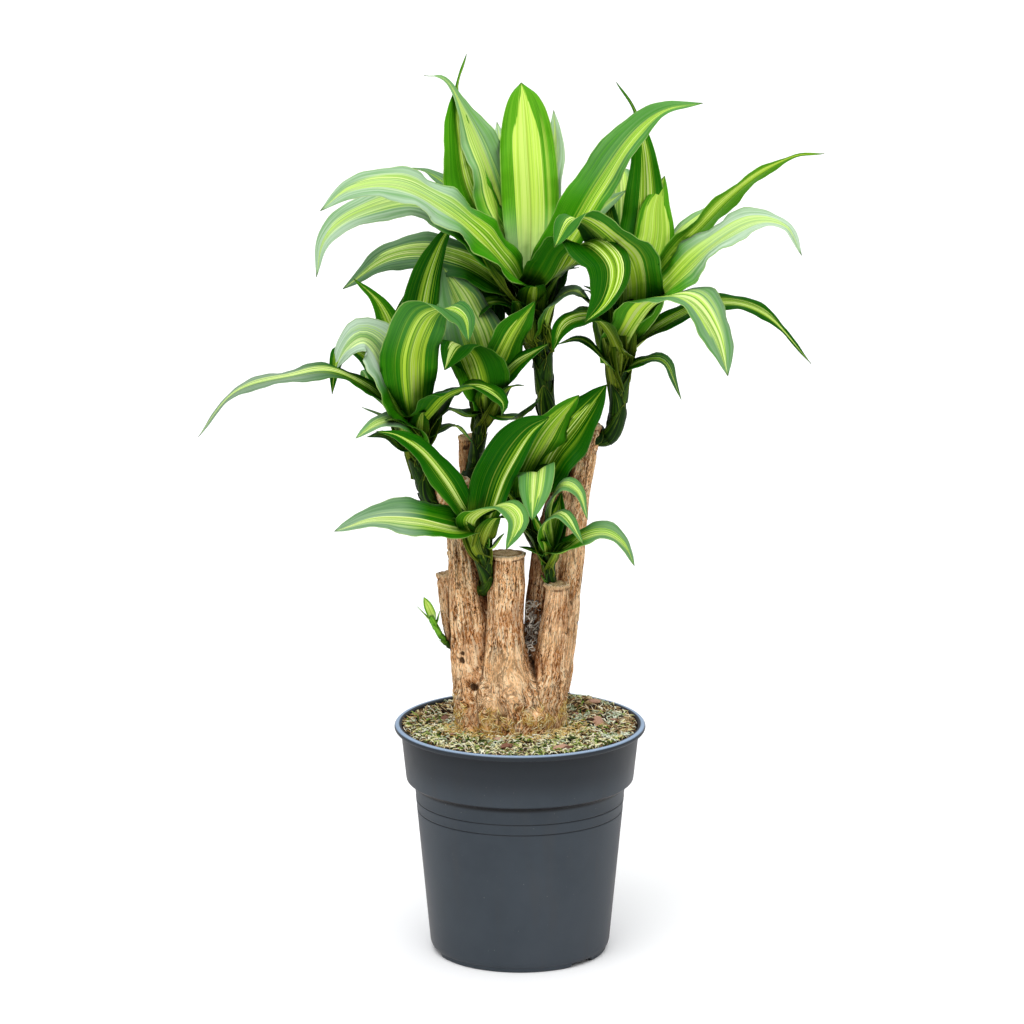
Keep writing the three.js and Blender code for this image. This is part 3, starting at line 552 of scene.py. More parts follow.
def leaf_finish(name, upper):
    """Striped leaf: green margins and a pale band along the middle, both streaked lengthwise."""
    material, tree, surface = new_material(name)
    uv = node(tree, "ShaderNodeUVMap", uv_map="blade").outputs[0]
    parts = node(tree, "ShaderNodeSeparateXYZ", {0: uv})
    across, along = parts.outputs[0], parts.outputs[1]
    seed, reach, band, side = (attribute(tree, fact) for fact in ("seed", "reach", "band", "side"))
    shade, veil, shelter = (attribute(tree, fact) for fact in ("shade", "veil", "shelter"))
    metres = product(tree, along, reach)
    off_middle = maths(tree, "SUBTRACT", across, 0.5)
    from_middle = product(tree, maths(tree, "ABSOLUTE", off_middle), 2)
    off_band = maths(tree, "ABSOLUTE", maths(tree, "SUBTRACT", off_middle, side))
    lined = span(tree, shade, 0.28, 0.5, 0.35, 1.0)  # a young leaf has few lines

    def streaks(across_scale, along_scale, offset, detail):
        where = packed(tree, product(tree, across, across_scale), product(tree, metres, along_scale),
                       maths(tree, "MULTIPLY_ADD", seed, 37.0, offset))
        return cloud(tree, where, 1.0, detail)

    def lines(value, low, high, most):
        return product(tree, span(tree, value, low, high, 0.0, most), lined)

    broad, fine = streaks(8, 3, 0.0, 1), streaks(22, 3.5, 5.0, 2)
    thin, hair = streaks(40, 4, 7.0, 1), streaks(80, 9, 9.0, 1)

    # the band's edge wanders, and the band narrows towards the tip
    wander = maths(tree, "ADD", maths(tree, "MULTIPLY_ADD", broad, 0.5, -0.25),
                   maths(tree, "MULTIPLY_ADD", fine, 0.45, -0.225))
    limit = product(tree, band, span(tree, along, 0.7, 1.0, 1.0, 0.2))
    edge_place = maths(tree, "MULTIPLY_ADD", off_band, 2.0, product(tree, wander, lined))
    beyond = maths(tree, "SUBTRACT", edge_place, limit)
    green_share = span(tree, beyond, -0.012, 0.02)

    # lines of the other colours in the band and in the margins
    green = ramp(tree, shade, UPPER_GREENS if upper else UNDER_GREENS)
    lime = ramp(tree, shade, UPPER_LIMES if upper else UNDER_LIMES)
    half_way = blend(tree, 0.66, lime, green)
    in_band = blend(tree, lines(fine, 0.5, 0.54, 0.7), lime, half_way)
    in_band = coat(tree, in_band, lines(thin, 0.54, 0.6, 0.65), "#eef8a8" if upper else "#cad884")
    in_band = blend(tree, lines(thin, 0.44, 0.39, 0.75), in_band, green)
    near_band = product(tree, span(tree, beyond, 0.04, 0.34, 1.0, 0.0),
                        span(tree, fine, 0.54, 0.58, 0.0, 0.75))
    in_margin = blend(tree, near_band, green, lime)
    in_margin = blend(tree, span(tree, hair, 0.5, 0.7, 0.0, 0.3), in_margin, half_way)
    in_margin = coat(tree, in_margin, span(tree, hair, 0.5, 0.3, 0.0, 0.45), "#053a04")
    paint = blend(tree, green_share, in_band, in_margin)

    # pale foot of a young leaf, olive foot of an old one, all olive where it is very dark
    foot = product(tree, span(tree, along, 0.02, 0.45, 0.85, 0.0), span(tree, shade, 0.44, 0.3))
    paint = coat(tree, paint, foot, "#d8eebc" if upper else "#9fb456")
    old_foot = product(tree, span(tree, along, 0.08, 0.32, 0.7, 0.0), span(tree, shade, 0.5, 0.8))
    inmost = product(tree, span(tree, along, 0.3, 0.8, 0.75, 0.0), span(tree, shade, 0.83, 0.86))
    olive = coat(tree, colour("#46520c"), span(tree, fine, 0.47, 0.53), "#7e8626")
    paint = blend(tree, maths(tree, "MAXIMUM", old_foot, inmost), paint, olive)

    # midrib, and painted shade on the sheltered inside of the crown
    rib = span(tree, from_middle, 0.01, 0.04, 0.5, 0.0)
    paint = coat(tree, paint, rib, "#9aac40" if upper else "#8fae48")
    # painted shade: darker where the plant close by blocks the space over the leaf
    deep = product(tree, span(tree, shelter, 0.24, 0.9), maths(tree, "MULTIPLY_ADD", foot, -0.6, 0.95))
    paint = coat(tree, paint, deep, "#5c8c2c", "MULTIPLY")

    # painted pale sheen of the outer leaves (a painted reflection), pale edge line that is partly a painted
    # highlight, dry tip
    cloudy = cloud(tree, packed(tree, metres, across, seed), 14, 3)
    painted_sheen_mask = product(tree, veil, span(tree, along, 0.4, 0.62),
                    span(tree, cloudy, 0.3, 0.65, 0.3, 0.66 if upper else 0.3),
                    maths(tree, "MULTIPLY_ADD", green_share, 0.5, 0.5))
    paint = coat(tree, paint, painted_sheen_mask, "#dcecda")
    # the pale edge line fades where the crown shelters it: partly the margin's own pale line, partly a
    # painted highlight
    edge = product(tree, span(tree, from_middle, 0.95, 0.985), span(tree, shelter, 0.1, 0.4, 0.5, 0.1),
                   span(tree, shade, 0.6, 0.85, 1.0, 0.2))
    paint = coat(tree, paint, edge, "#bcd67c")
    paint = coat(tree, paint, span(tree, along, 0.97, 1.0, 0.0, 0.7), "#34481a")

    veins = maths(tree, "ADD", hair, product(tree, fine, 0.8))
    grain = cloud(tree, object_place(tree), 1600, 2)
    relief = bump(tree, veins, 0.00025, 0.6, bump(tree, grain, 0.00006, 0.3))
    least, most = (0.3, 0.45) if upper else (0.45, 0.6)
    rough = span(tree, maths(tree, "ADD", hair, cloudy), 0.6, 1.4, least, most)
    connect(tree, surface, Base_Color=paint, Roughness=rough, Normal=relief,
            Specular_IOR_Level=0.04 if upper else 0.03)
    return material


def stem_finish():
    """Green stem wrapped in old leaf bases, with a scar line where each one ends."""
    material, tree, surface = new_material("stem_sheaths")
    uv = node(tree, "ShaderNodeUVMap", uv_map="blade").outputs[0]
    parts = node(tree, "ShaderNodeSeparateXYZ", {0: uv})
    around, metres = parts.outputs[0], parts.outputs[1]
    facts = ("seed", "sheath", "young", "shelter")
    seed, sheath_edge, young, shelter = (attribute(tree, fact) for fact in facts)
    where = packed(tree, product(tree, around, 26), product(tree, metres, 14), seed)
    stripes = cloud(tree, where, 1.0, 3)
    blotch = cloud(tree, object_place(tree), 90, 3)
    paint = ramp(tree, stripes, [(0.34, "#061602"), (0.48, "#163604"), (0.6, "#35540c"), (0.74, "#8a962c")])
    paint = coat(tree, paint, span(tree, blotch, 0.42, 0.65, 0.0, 0.65), "#0c2404")
    paint = coat(tree, paint, span(tree, sheath_edge, 0.93, 1.0, 0.0, 0.45), "#8a8c3a")
    fresh = ramp(tree, stripes, [(0.35, "#3f8a18"), (0.65, "#86c63a")])
    paint = blend(tree, young, paint, fresh)
    # painted shade: darker where the plant close by blocks the space over the stem
    paint = coat(tree, paint, span(tree, shelter, 0.3, 0.9), "#7a9450", "MULTIPLY")
    relief = bump(tree, stripes, 0.0004, 0.6)
    connect(tree, surface, Base_Color=paint, Roughness=0.5, Normal=relief, Specular_IOR_Level=0.08)
    return material


BARK_PLATES = [(0.32, "#7a4824"), (0.43, "#cc9058"), (0.53, "#eebc86"), (0.66, "#ffe2b8")]
BARK_FIBRES = [(0.39, "#321808"), (0.455, "#b2703c"), (0.515, "#f8c48c"), (0.59, "#fff6da")]
SAWN_WOOD = [(0.0, "#d0b088"), (0.55, "#f4deb8"), (0.8, "#a87e54"), (0.9, "#fff6e0"), (1.0, "#fff0d0")]


def bark_finish():
    """Fibrous tan bark: lengthwise fissures, pale fibres, painted shade in the creases, sawn ends."""
    material, tree, surface = new_material("bark_fibres")
    grain = attribute(tree, "grain", "Vector")
    facts = ("hollow", "cut", "low", "worn", "from_core", "shelter")
    hollow, cut, low, worn, from_core, shelter = (attribute(tree, fact) for fact in facts)

    def fibrous(stretch, scale, detail, roughness, distortion):
        """Noise drawn out along the cane."""
        return cloud(tree, scaled(tree, grain, (1.0, 1.0, stretch)), scale, detail, roughness, distortion)

    plates, fibres = fibrous(0.07, 120, 4, 0.6, 0.6), fibrous(0.13, 360, 5, 0.7, 0.8)
    strands, flecks = fibrous(0.05, 210, 2, 0.5, 1.2), fibrous(0.3, 950, 2, 0.6, 0.4)
    tone = cloud(tree, grain, 24, 3)
    paint = blend(tree, 0.66, ramp(tree, plates, BARK_PLATES), ramp(tree, fibres, BARK_FIBRES))

    # dark and light strands, cracks, flecks and patches
    dark_strand = product(tree, line_at(tree, strands, 0.5, 0.03, 0.95), span(tree, tone, 0.35, 0.6))
    paint = coat(tree, paint, dark_strand, "#4e2c14")
    paint = coat(tree, paint, line_at(tree, strands, 0.57, 0.02, 0.6), "#ffe9c4")
    crack = product(tree, line_at(tree, plates, 0.46, 0.03, 0.95), span(tree, tone, 0.4, 0.6, 0.2, 1.0))
    paint = coat(tree, paint, crack, "#3c200e")
    paint = coat(tree, paint, span(tree, flecks, 0.56, 0.64, 0.0, 0.6), "#fff0d2")
    paint = coat(tree, paint, span(tree, flecks, 0.44, 0.37, 0.0, 0.95), "#341c0c")
    paint = coat(tree, paint, span(tree, tone, 0.5, 0.68, 0.0, 0.35), "#f0cd9e")
    paint = coat(tree, paint, span(tree, tone, 0.48, 0.32, 0.0, 0.4), "#96603a")

    # rubbed places and the painted highlight on the lips of the cane tops, fibrous foot, painted shade in
    # the hollows and between the canes
    paint = coat(tree, paint, product(tree, worn, 0.2), "#ffe8c4")
    paint = coat(tree, paint, worn, "#54422e", "ADD")
    paint = coat(tree, paint, product(tree, low, span(tree, fibres, 0.4, 0.52, 0.2, 0.9)), "#e2bc68")
    paint = coat(tree, paint, span(tree, hollow, 0.25, 0.9, 0.0, 0.9), "#2a160a")
    # painted shade where the plant close by shelters the bark
    paint = coat(tree, paint, span(tree, shelter, 0.25, 0.85, 0.0, 0.9), "#8a6a50", "MULTIPLY")

    ends = ramp(tree, maths(tree, "MULTIPLY_ADD", fibres, 0.18, from_core), SAWN_WOOD)
    ends = coat(tree, ends, span(tree, flecks, 0.46, 0.38, 0.0, 0.7), "#5a3c22")
    paint = coat(tree, blend(tree, cut, paint, ends), 1.0, "#fff5ea", "MULTIPLY")
    ridges = maths(tree, "ADD", fibres, product(tree, plates, 1.4))
    relief = bump(tree, ridges, 0.0022, 1.0, bump(tree, flecks, 0.0007, 0.8))
    connect(tree, surface, Base_Color=paint, Roughness=0.9, Normal=relief, Specular_IOR_Level=0.06)
    return material


def pot_finish():
    """Dark grey moulded plastic with a faint brownish bloom, dust and light scuffs, a painted highlight
    along the rim and painted shade under the step, on the bead, in the grooves and inside.
    """
    material, tree, surface = new_material("nursery_plastic")
    place = object_place(tree)
    patches = cloud(tree, place, 9, 4, 0.6)
    drift = cloud(tree, scaled(tree, place, (1.0, 1.0, 0.18)), 60, 3)
    dust = cloud(tree, place, 520, 1)
    grain = cloud(tree, place, 1500, 2)
    height = node(tree, "ShaderNodeSeparateXYZ", {0: place}).outputs[2]
    flat = scaled(tree, place, (1.0, 1.0, 0.0))
    from_axis = node(tree, "ShaderNodeVectorMath", {0: flat}, operation="LENGTH").outputs["Value"]

    def belt(foot, head, most):
        """Share for the heights between two stretches, over which it comes and goes."""
        return product(tree, span(tree, height, *foot), span(tree, height, *head), most)

    paint = ramp(tree, patches, [(0.3, "#2f363d"), (0.5, "#363d44"), (0.72, "#3d434a")])
    paint = coat(tree, paint, span(tree, drift, 0.5, 0.75, 0.0, 0.2), "#3e3d3c")
    paint = coat(tree, paint, span(tree, dust, 0.77, 0.83, 0.0, 0.4), "#8b8a84")
    # painted shade: a dark band under the overhanging step
    shade_under_step = belt((0.1618, 0.1655), (0.171, 0.1682), 0.95)
    paint = coat(tree, paint, shade_under_step, "#0c0d10")
    # painted shade in the grooves
    for groove in GROOVES:
        off = maths(tree, "ABSOLUTE", maths(tree, "SUBTRACT", height, groove * MM))
        paint = coat(tree, paint, span(tree, off, 0.0002, 0.0008, 0.8, 0.0), "#111316")
    # painted shade on the side of the bead and on the collar just under it
    shaded_bead_side = belt((0.2165, 0.2175), (0.2228, 0.2215), 0.6)
    paint = coat(tree, paint, shaded_bead_side, "#14181d")
    shade_under_bead = belt((0.198, 0.2155), (0.2175, 0.2165), 0.45)
    paint = coat(tree, paint, shade_under_bead, "#191d22")
    # painted shade on the inner wall above the soil
    inside = product(tree, span(tree, from_axis, 0.1158, 0.1145), span(tree, height, 0.17, 0.2), 0.65)
    paint = coat(tree, paint, inside, "#15181c")
    # painted highlight: a pale bluish line along the top of the bead
    painted_rim_highlight = product(tree, span(tree, height, 0.2218, 0.2233), span(tree, from_axis, 0.1148, 0.1162))
    paint = coat(tree, paint, product(tree, painted_rim_highlight, 0.85), "#9db4d0")
    rough = maths(tree, "MULTIPLY_ADD", painted_rim_highlight, -0.16, span(tree, patches, 0.3, 0.7, 0.42, 0.56))
    relief = bump(tree, grain, 0.00005, 0.5, bump(tree, drift, 0.0004, 0.15))
    connect(tree, surface, Base_Color=paint, Roughness=rough, Normal=relief,
            Sheen_Weight=0.1, Sheen_Roughness=0.3, Sheen_Tint=colour("#8f6542"),
            Specular_IOR_Level=0.2)
    return material


def earth_finish():
    """Peat between the moss: dark crumbs with paler dust."""
    material, tree, surface = new_material("peat")
    place = object_place(tree)
    crumbs = cloud(tree, place, 260, 5, 0.7)
    patches = cloud(tree, place, 28, 3)
    paint = ramp(tree, crumbs, [(0.32, "#140d08"), (0.5, "#33241a"), (0.66, "#5e4b33"), (0.8, "#9a8358")])
    paint = coat(tree, paint, span(tree, patches, 0.45, 0.7, 0.0, 0.5), "#3a421c")
    relief = bump(tree, crumbs, 0.002, 1.0)
    connect(tree, surface, Base_Color=paint, Roughness=0.95, Normal=relief, Specular_IOR_Level=0.15)
    return material


def scrap_finish(name, stops, rough=0.85):
    """Loose bits, each with its own tone from the stops."""
    material, tree, surface = new_material(name)
    tint = attribute(tree, "tint")
    mottle = cloud(tree, object_place(tree), 700, 3, 0.6)
    tone = maths(tree, "MULTIPLY_ADD", mottle, 0.3, maths(tree, "MULTIPLY_ADD", tint, 0.9, -0.1))
    paint = ramp(tree, tone, stops)
    relief = bump(tree, mottle, 0.0008, 0.8)
    connect(tree, surface, Base_Color=paint, Roughness=rough, Normal=relief, Specular_IOR_Level=0.25)
    return material


LEAF_UPPER = leaf_finish("leaf_upper", True)
LEAF_UNDER = leaf_finish("leaf_under", False)
STEM = stem_finish()
BARK = bark_finish()
PLASTIC = pot_finish()
EARTH = earth_finish()
MOSS = scrap_finish("moss", [(0.0, "#141407"), (0.2, "#3c5216"), (0.36, "#86a23e"), (0.54, "#e4dea0"),
                             (1.0, "#fffdea")])
PALE_MOSS = scrap_finish("pale_moss", [(0.0, "#8a9a74"), (0.5, "#c4d2b0"), (1.0, "#f0f6e4")])
STRAW = scrap_finish("straw", [(0.0, "#3a2610"), (0.3, "#9a7440"), (0.6, "#e0c48a"), (1.0, "#fff8e0")])
OCHRE = scrap_finish("ochre_fibre", [(0.0, "#6a4418"), (0.2, "#cc9c40"), (0.45, "#f6da84"),
                                     (1.0, "#fff8d4")])
CRUMB = scrap_finish("dirt", [(0.0, "#120c07"), (0.35, "#3a281a"), (0.65, "#6d5136"), (1.0, "#b59a72")])
CHIP = scrap_finish("bark_chips", [(0.0, "#4a3226"), (0.4, "#835b48"), (0.7, "#a67c65"), (1.0, "#ccaa94")])
GRIT = scrap_finish("grit", [(0.0, "#9fa39a"), (0.5, "#d5d7cf"), (1.0, "#f4f4ee")])
ROOTLET = scrap_finish("rootlets", [(0.0, "#2c2620"), (0.35, "#82776a"), (0.7, "#cabfae"),
                                    (1.0, "#f4eee2")])


def finish_piece(piece, node_names, materials):
    piece.data.materials.clear()
    for material in materials:
        piece.data.materials.append(material)
    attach(piece, "root")
    if node_names:
        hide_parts(*node_names)
    return piece


# ---------------------------------------------------------------- pot

def rounded(profile):
    """Profile of (radius, height, corner radius), with each corner turned into a short arc."""
    made = []
    for i, (r, z, round_by) in enumerate(profile):
        here = np.array([r, z], float)
        if not round_by or i in (0, len(profile) - 1):
            made.append(here)
            continue
        before = np.array(profile[i - 1][:2], float)
        after = np.array(profile[i + 1][:2], float)
        reach = min(round_by, 0.45 * np.linalg.norm(before - here), 0.45 * np.linalg.norm(after - here))
        start = here + unit(before - here) * reach
        end = here + unit(after - here) * reach
        for share in (0, 0.25, 0.5, 0.75, 1):
            made.append(mix(mix(start, here, share), mix(here, end, share), share))
    return np.array(made)


def pot_profile():
    def body_radius(z):
        return mix(BODY_FOOT[0], BODY_TOP[0], (z - BODY_FOOT[1]) / (BODY_TOP[1] - BODY_FOOT[1]))

    body = []
    for z in sorted(GROOVES):
        r = body_radius(z)
        body += [(r, z - 1.0, 0.3), (r - GROOVE_DEPTH, z, 0.25), (r + 0.3, z + 1.1, 0.4),
                 (r + 0.1, z + 3, 0)]
    bead_r, bead_z = RIM_RADIUS - BEAD_RADIUS, POT_HEIGHT - BEAD_RADIUS
    bead = [(bead_r + BEAD_RADIUS * math.cos(math.radians(a)),
             bead_z + BEAD_RADIUS * math.sin(math.radians(a)), 0) for a in range(-120, 91, 15)]
    under = [(0.01, 0, 0), (DISC_RADIUS, 0, 0.6), (DISC_RADIUS + 2, CHANNEL, 0.6),
             (FOOT_INNER - 2, CHANNEL, 0.6), (FOOT_INNER, 0, 0.6)]
    outside = [(FOOT_OUTER, 0, 0.6), (FOOT_OUTER + 1.1, 1.2, 0.5), (FOOT_OUTER + 1.1, CHANNEL, 0.8),
               (FOOT_OUTER + 2.9, CHANNEL + 1.6, 1.5), (*BODY_FOOT, 3.0), *body, (*BODY_TOP, 0.8),
               (SHOULDER[0] - 3.2, SHOULDER[1] - 2.5, 0.6), (*SHOULDER, 1.0),
               (COLLAR_FOOT[0] - 0.4, COLLAR_FOOT[1] - 3, 0.8), (*COLLAR_FOOT, 2.0), (*COLLAR_TOP, 1.0)]
    inside = [(COLLAR_TOP[0] + 1.5, POT_HEIGHT - 0.2, 0.5), (COLLAR_TOP[0] - 0.6, POT_HEIGHT - 1, 0.6),
              (COLLAR_TOP[0] - WALL, COLLAR_TOP[1], 2.0), (COLLAR_FOOT[0] - WALL, COLLAR_FOOT[1], 2.0),
              (SHOULDER[0] - WALL, SHOULDER[1] + 0.5, 1.0), (BODY_TOP[0] - WALL, BODY_TOP[1] + 0.5, 1.0),
              (BODY_FOOT[0] - WALL, BODY_FOOT[1], 2.0), (FOOT_OUTER - 2, WALL + 0.4, 1.0),
              (FOOT_INNER + 1, WALL + 0.4, 0.8), (FOOT_INNER - 1.5, CHANNEL + WALL, 0.8),
              (DISC_RADIUS + 1.5, CHANNEL + WALL, 0.8), (DISC_RADIUS - 1, WALL + 0.4, 0.8),
              (0.01, WALL + 0.4, 0)]
    return rounded([*under, *outside, *bead, *inside])


def make_pot():
    profile = pot_profile()
    angles = np.linspace(0, 2 * np.pi, POT_SIDES, endpoint=False)
    rings = [np.column_stack([r * np.cos(angles), r * np.sin(angles), np.full(POT_SIDES, z)])
             for r, z in profile]
    for ring in rings:
        radius, height = np.hypot(*ring[0, :2]), ring[0, 2]
        if height < CHANNEL and FOOT_INNER - 1 < radius < FOOT_OUTER + 2:
            for bearing in SLOT_BEARINGS:
                off = (np.degrees(angles) - bearing + 180) % 360 - 180
                inside = np.abs(np.radians(off) * radius) < SLOT_WIDTH / 2
                ring[inside, 2] = CHANNEL
    points, faces = loft(rings)
    pot = piece_from("nursery_pot", points, faces)
    cutter = bmesh.new()
    out = (DISC_RADIUS + FOOT_INNER) / 2 * MM
    for hole in range(DRAIN_HOLES):
        turn = (hole + 0.5) / DRAIN_HOLES * 2 * math.pi
        place = Matrix.Rotation(turn, 4, "Z") @ Matrix.Translation((out, 0, 0))
        bmesh.ops.create_cone(cutter, cap_ends=True, segments=32, radius1=DRAIN_RADIUS * MM,
                              radius2=DRAIN_RADIUS * MM, depth=30 * MM, matrix=place)
    drains = piece_of(cutter, "drain_cutters")
    cut = pot.modifiers.new("drain_holes", "BOOLEAN")
    cut.operation, cut.object, cut.solver = "DIFFERENCE", drains, "EXACT"
    applied(pot)
    removed(drains)
    pot.data.polygons.foreach_set("use_smooth", [True] * len(pot.data.polygons))
    return finish_piece(pot, ["pot"], [PLASTIC])


# ---------------------------------------------------------------- soil

SOIL_LEVEL, SOIL_GAP, SOIL_UP_THE_WALL = 218.5, 0.4, 2.2
SOIL_RINGS, SOIL_SIDES = 70, 220
TRUNK_FOOT = (-9, -5, 54, 39)  # centre and half widths of the trunk where it leaves the soil
SOIL_HEAPS = [(-8, -4, 4, 52), (72, 62, 11, 26), (30, 80, 4, 24), (-78, 45, -6, 30)]  # x, y, rise, spread


def soil_height(x, y):
    near_wall = smoothstep(np.hypot(x, y), 84, 108)
    heaps = sum(rise * np.exp(-0.5 * ((x - cx) ** 2 + (y - cy) ** 2) / spread ** 2)
                for cx, cy, rise, spread in SOIL_HEAPS)
    ripple = np.sin(x / 9 + 1) * np.cos(y / 8) + 0.6 * np.sin(x / 4.3 - y / 5.1)
    return (SOIL_LEVEL + heaps * (1 - 0.75 * near_wall) + ripple * 0.8 * (1 - near_wall)
            + SOIL_UP_THE_WALL * near_wall)


def make_soil():
    angles = np.linspace(0, 2 * np.pi, SOIL_SIDES, endpoint=False)
    top = COLLAR_TOP[0] - 0.4 - WALL - SOIL_GAP
    floor = CHANNEL + WALL + SOIL_GAP
    wall = [(BODY_FOOT[0] - 6, floor), (BODY_FOOT[0] - 2.6, BODY_FOOT[1]),
            (BODY_TOP[0] - 2.6, BODY_TOP[1] + 1.5), (SHOULDER[0] - 2.6, SHOULDER[1] + 1.5),
            (COLLAR_FOOT[0] - 2.6, COLLAR_FOOT[1])]
    rings = [np.column_stack([r * np.cos(angles), r * np.sin(angles), np.full(SOIL_SIDES, z)])
             for r, z in wall]
    for r in [top, *np.linspace(top - 0.8, 1.5, SOIL_RINGS)]:
        x, y = r * np.cos(angles), r * np.sin(angles)
        rough = np.array([noise.noise(Vector((a / 3.4, b / 3.4, 0))) * 0.9
                          + noise.noise(Vector((a / 1.5, b / 1.5, 4))) * 0.5 for a, b in zip(x, y)])
        rings.append(np.column_stack([x, y, soil_height(x, y) + rough - 0.6]))
    points, faces = loft(rings)
    soil = piece_from("soil_bed", points, faces)
    for name, share in soil_covers(points, top).items():
        put_attribute(soil, name, share)
    return finish_piece(soil, ["soil"], [EARTH])


def soil_covers(points, rim):
    """How thickly each kind of loose bit lies at each point of the soil."""
    x, y = points[:, 0], points[:, 1]

    def patches(size, level):
        return np.array([noise.noise(Vector((a / size, b / size, level))) for a, b in zip(x, y)])

    cx, cy, rx, ry = TRUNK_FOOT
    off_trunk = np.hypot((x - cx) / rx, (y - cy) / ry)
    near_trunk = smoothstep(off_trunk, 1.55, 1.1)
    right_back = smoothstep(x * 0.75 + y * 0.5, 30, 62)
    left_back = smoothstep(-x * 0.6 + y * 0.8, 40, 70)
    back = np.maximum(left_back, right_back)
    moss = (1 - 0.8 * right_back) * (1 - 0.7 * left_back) * (1 - 0.6 * near_trunk)
    moss *= 0.25 + 0.75 * smoothstep(patches(11, 31), -0.28, 0.05)
    covers = {"moss_cover": moss, "straw_cover": 0.5 + 0.5 * back, "dirt_cover": 0.3 + 0.7 * back,
              "ochre_cover": near_trunk * smoothstep(-y, -20, 20),
              "chip_cover": (0.2 + 0.8 * right_back) * smoothstep(np.hypot(x, y), 104, 94),
              "lichen_cover": smoothstep(patches(16, 9), 0.12, 0.3) * (0.25 + 0.75 * right_back),
              "grit_cover": np.ones(len(x))}
    open_soil = smoothstep(off_trunk, 0.9, 1.02) * (points[:, 2] > SOIL_LEVEL - 12)
    open_soil *= np.hypot(x, y) < rim - 0.4
    return {name: share * open_soil for name, share in covers.items()}


# ---------------------------------------------------------------- loose bits, scattered


def scrap_shape(name, path_points, radii, sides=3):
    """Small bent strand, lying along X, with one radius for each of its points."""
    places = np.linspace(0, 1, len(radii))
    strand = tube(Path(path_points), lambda along, angles: np.interp(along, places, radii),
                  len(radii) - 1, sides)
    return piece_from(name, *strand)


def lump_shape(name, sizes, seed, subdivisions=1):
    mesh = bmesh.new()
    bmesh.ops.create_icosphere(mesh, subdivisions=subdivisions, radius=1.0)
    for vertex in mesh.verts:
        swell = 1 + 0.45 * noise.noise(vertex.co * 1.3 + Vector((seed, 0, 0)))
        vertex.co = Vector([c * swell * s * MM for c, s in zip(vertex.co, sizes)])
    return piece_of(mesh, name)


def scatter_tree():
    """Bits laid over a surface where an attribute says: density, size, tilt and seed are inputs."""
    tree = bpy.data.node_groups.new("scatter_bits", "GeometryNodeTree")
    sockets = [("Geometry", "NodeSocketGeometry"), ("Bit", "NodeSocketObject"),
               ("Cover", "NodeSocketString"), ("Density", "NodeSocketFloat"),
               ("Smallest", "NodeSocketFloat"), ("Largest", "NodeSocketFloat"),
               ("Tilt", "NodeSocketFloat"), ("Lift", "NodeSocketFloat"),
               ("Seed", "NodeSocketInt"), ("Material", "NodeSocketMaterial")]
    for name, kind in sockets:
        tree.interface.new_socket(name, in_out="INPUT", socket_type=kind)
    tree.interface.new_socket("Geometry", in_out="OUTPUT", socket_type="NodeSocketGeometry")
    given = tree.nodes.new("NodeGroupInput").outputs
    cover = node(tree, "GeometryNodeInputNamedAttribute", {"Name": given["Cover"]}, data_type="FLOAT")
    density = maths(tree, "MULTIPLY", cover.outputs[0], given["Density"])
    spread = node(tree, "GeometryNodeDistributePointsOnFaces",
                  {"Mesh": given["Geometry"], "Density": density, "Seed": given["Seed"]},
                  distribute_method="RANDOM")
    lift = node(tree, "ShaderNodeVectorMath", {0: spread.outputs["Normal"], "Scale": given["Lift"]},
                operation="SCALE")
    raised = node(tree, "GeometryNodeSetPosition",
                  {"Geometry": spread.outputs["Points"], "Offset": lift.outputs[0]})
    bit = node(tree, "GeometryNodeObjectInfo", {"Object": given["Bit"]})
    lean = maths(tree, "MULTIPLY", given["Tilt"], -1.0)
    low = packed(tree, lean, lean, 0.0)
    high = packed(tree, given["Tilt"], given["Tilt"], 6.283)
    turn = node(tree, "FunctionNodeRandomValue", {0: low, 1: high, "Seed": given["Seed"]},
                data_type="FLOAT_VECTOR")
    size = node(tree, "FunctionNodeRandomValue",
                {2: given["Smallest"], 3: given["Largest"], "Seed": given["Seed"]}, data_type="FLOAT")
    align = node(tree, "FunctionNodeAlignRotationToVector",
                 {"Vector": spread.outputs["Normal"]}, axis="Z")
    turned_by = node(tree, "FunctionNodeEulerToRotation", {0: turn.outputs[0]})
    both = node(tree, "FunctionNodeRotateRotation",
                {0: align.outputs[0], 1: turned_by.outputs[0]}, rotation_space="LOCAL")
    placed = node(tree, "GeometryNodeInstanceOnPoints",
                  {"Points": raised.outputs[0], "Instance": bit.outputs["Geometry"],
                   "Rotation": both.outputs[0], "Scale": size.outputs[1]})
    tone = node(tree, "FunctionNodeRandomValue", {2: 0.0, 3: 1.0, "Seed": 77}, data_type="FLOAT")
    marked = node(tree, "GeometryNodeStoreNamedAttribute",
                  {"Geometry": placed.outputs[0], "Name": "tint", "Value": tone.outputs[1]},
                  data_type="FLOAT", domain="INSTANCE")
    real = node(tree, "GeometryNodeRealizeInstances", {0: marked.outputs[0]})
    dressed = node(tree, "GeometryNodeSetMaterial",
                   {"Geometry": real.outputs[0], "Material": given["Material"]})
    out = tree.nodes.new("NodeGroupOutput")
    tree.links.new(dressed.outputs[0], out.inputs[0])
    return tree


SCATTER = scatter_tree()


def scatter(name, ground, bit, slot_name, **inputs):
    """Lays bits over the ground, as a piece of its own."""
    holder = bpy.data.objects.new(name, ground.data.copy())
    bpy.context.scene.collection.objects.link(holder)
    modifier = holder.modifiers.new("scatter", "NODES")
    modifier.node_group = SCATTER
    values = {"Bit": bit, **inputs}
    for item in SCATTER.interface.items_tree:
        if item.in_out == "INPUT" and item.name in values:
            modifier[item.identifier] = values[item.name]
    applied(holder)
    return finish_piece(holder, [], [inputs["Material"]])


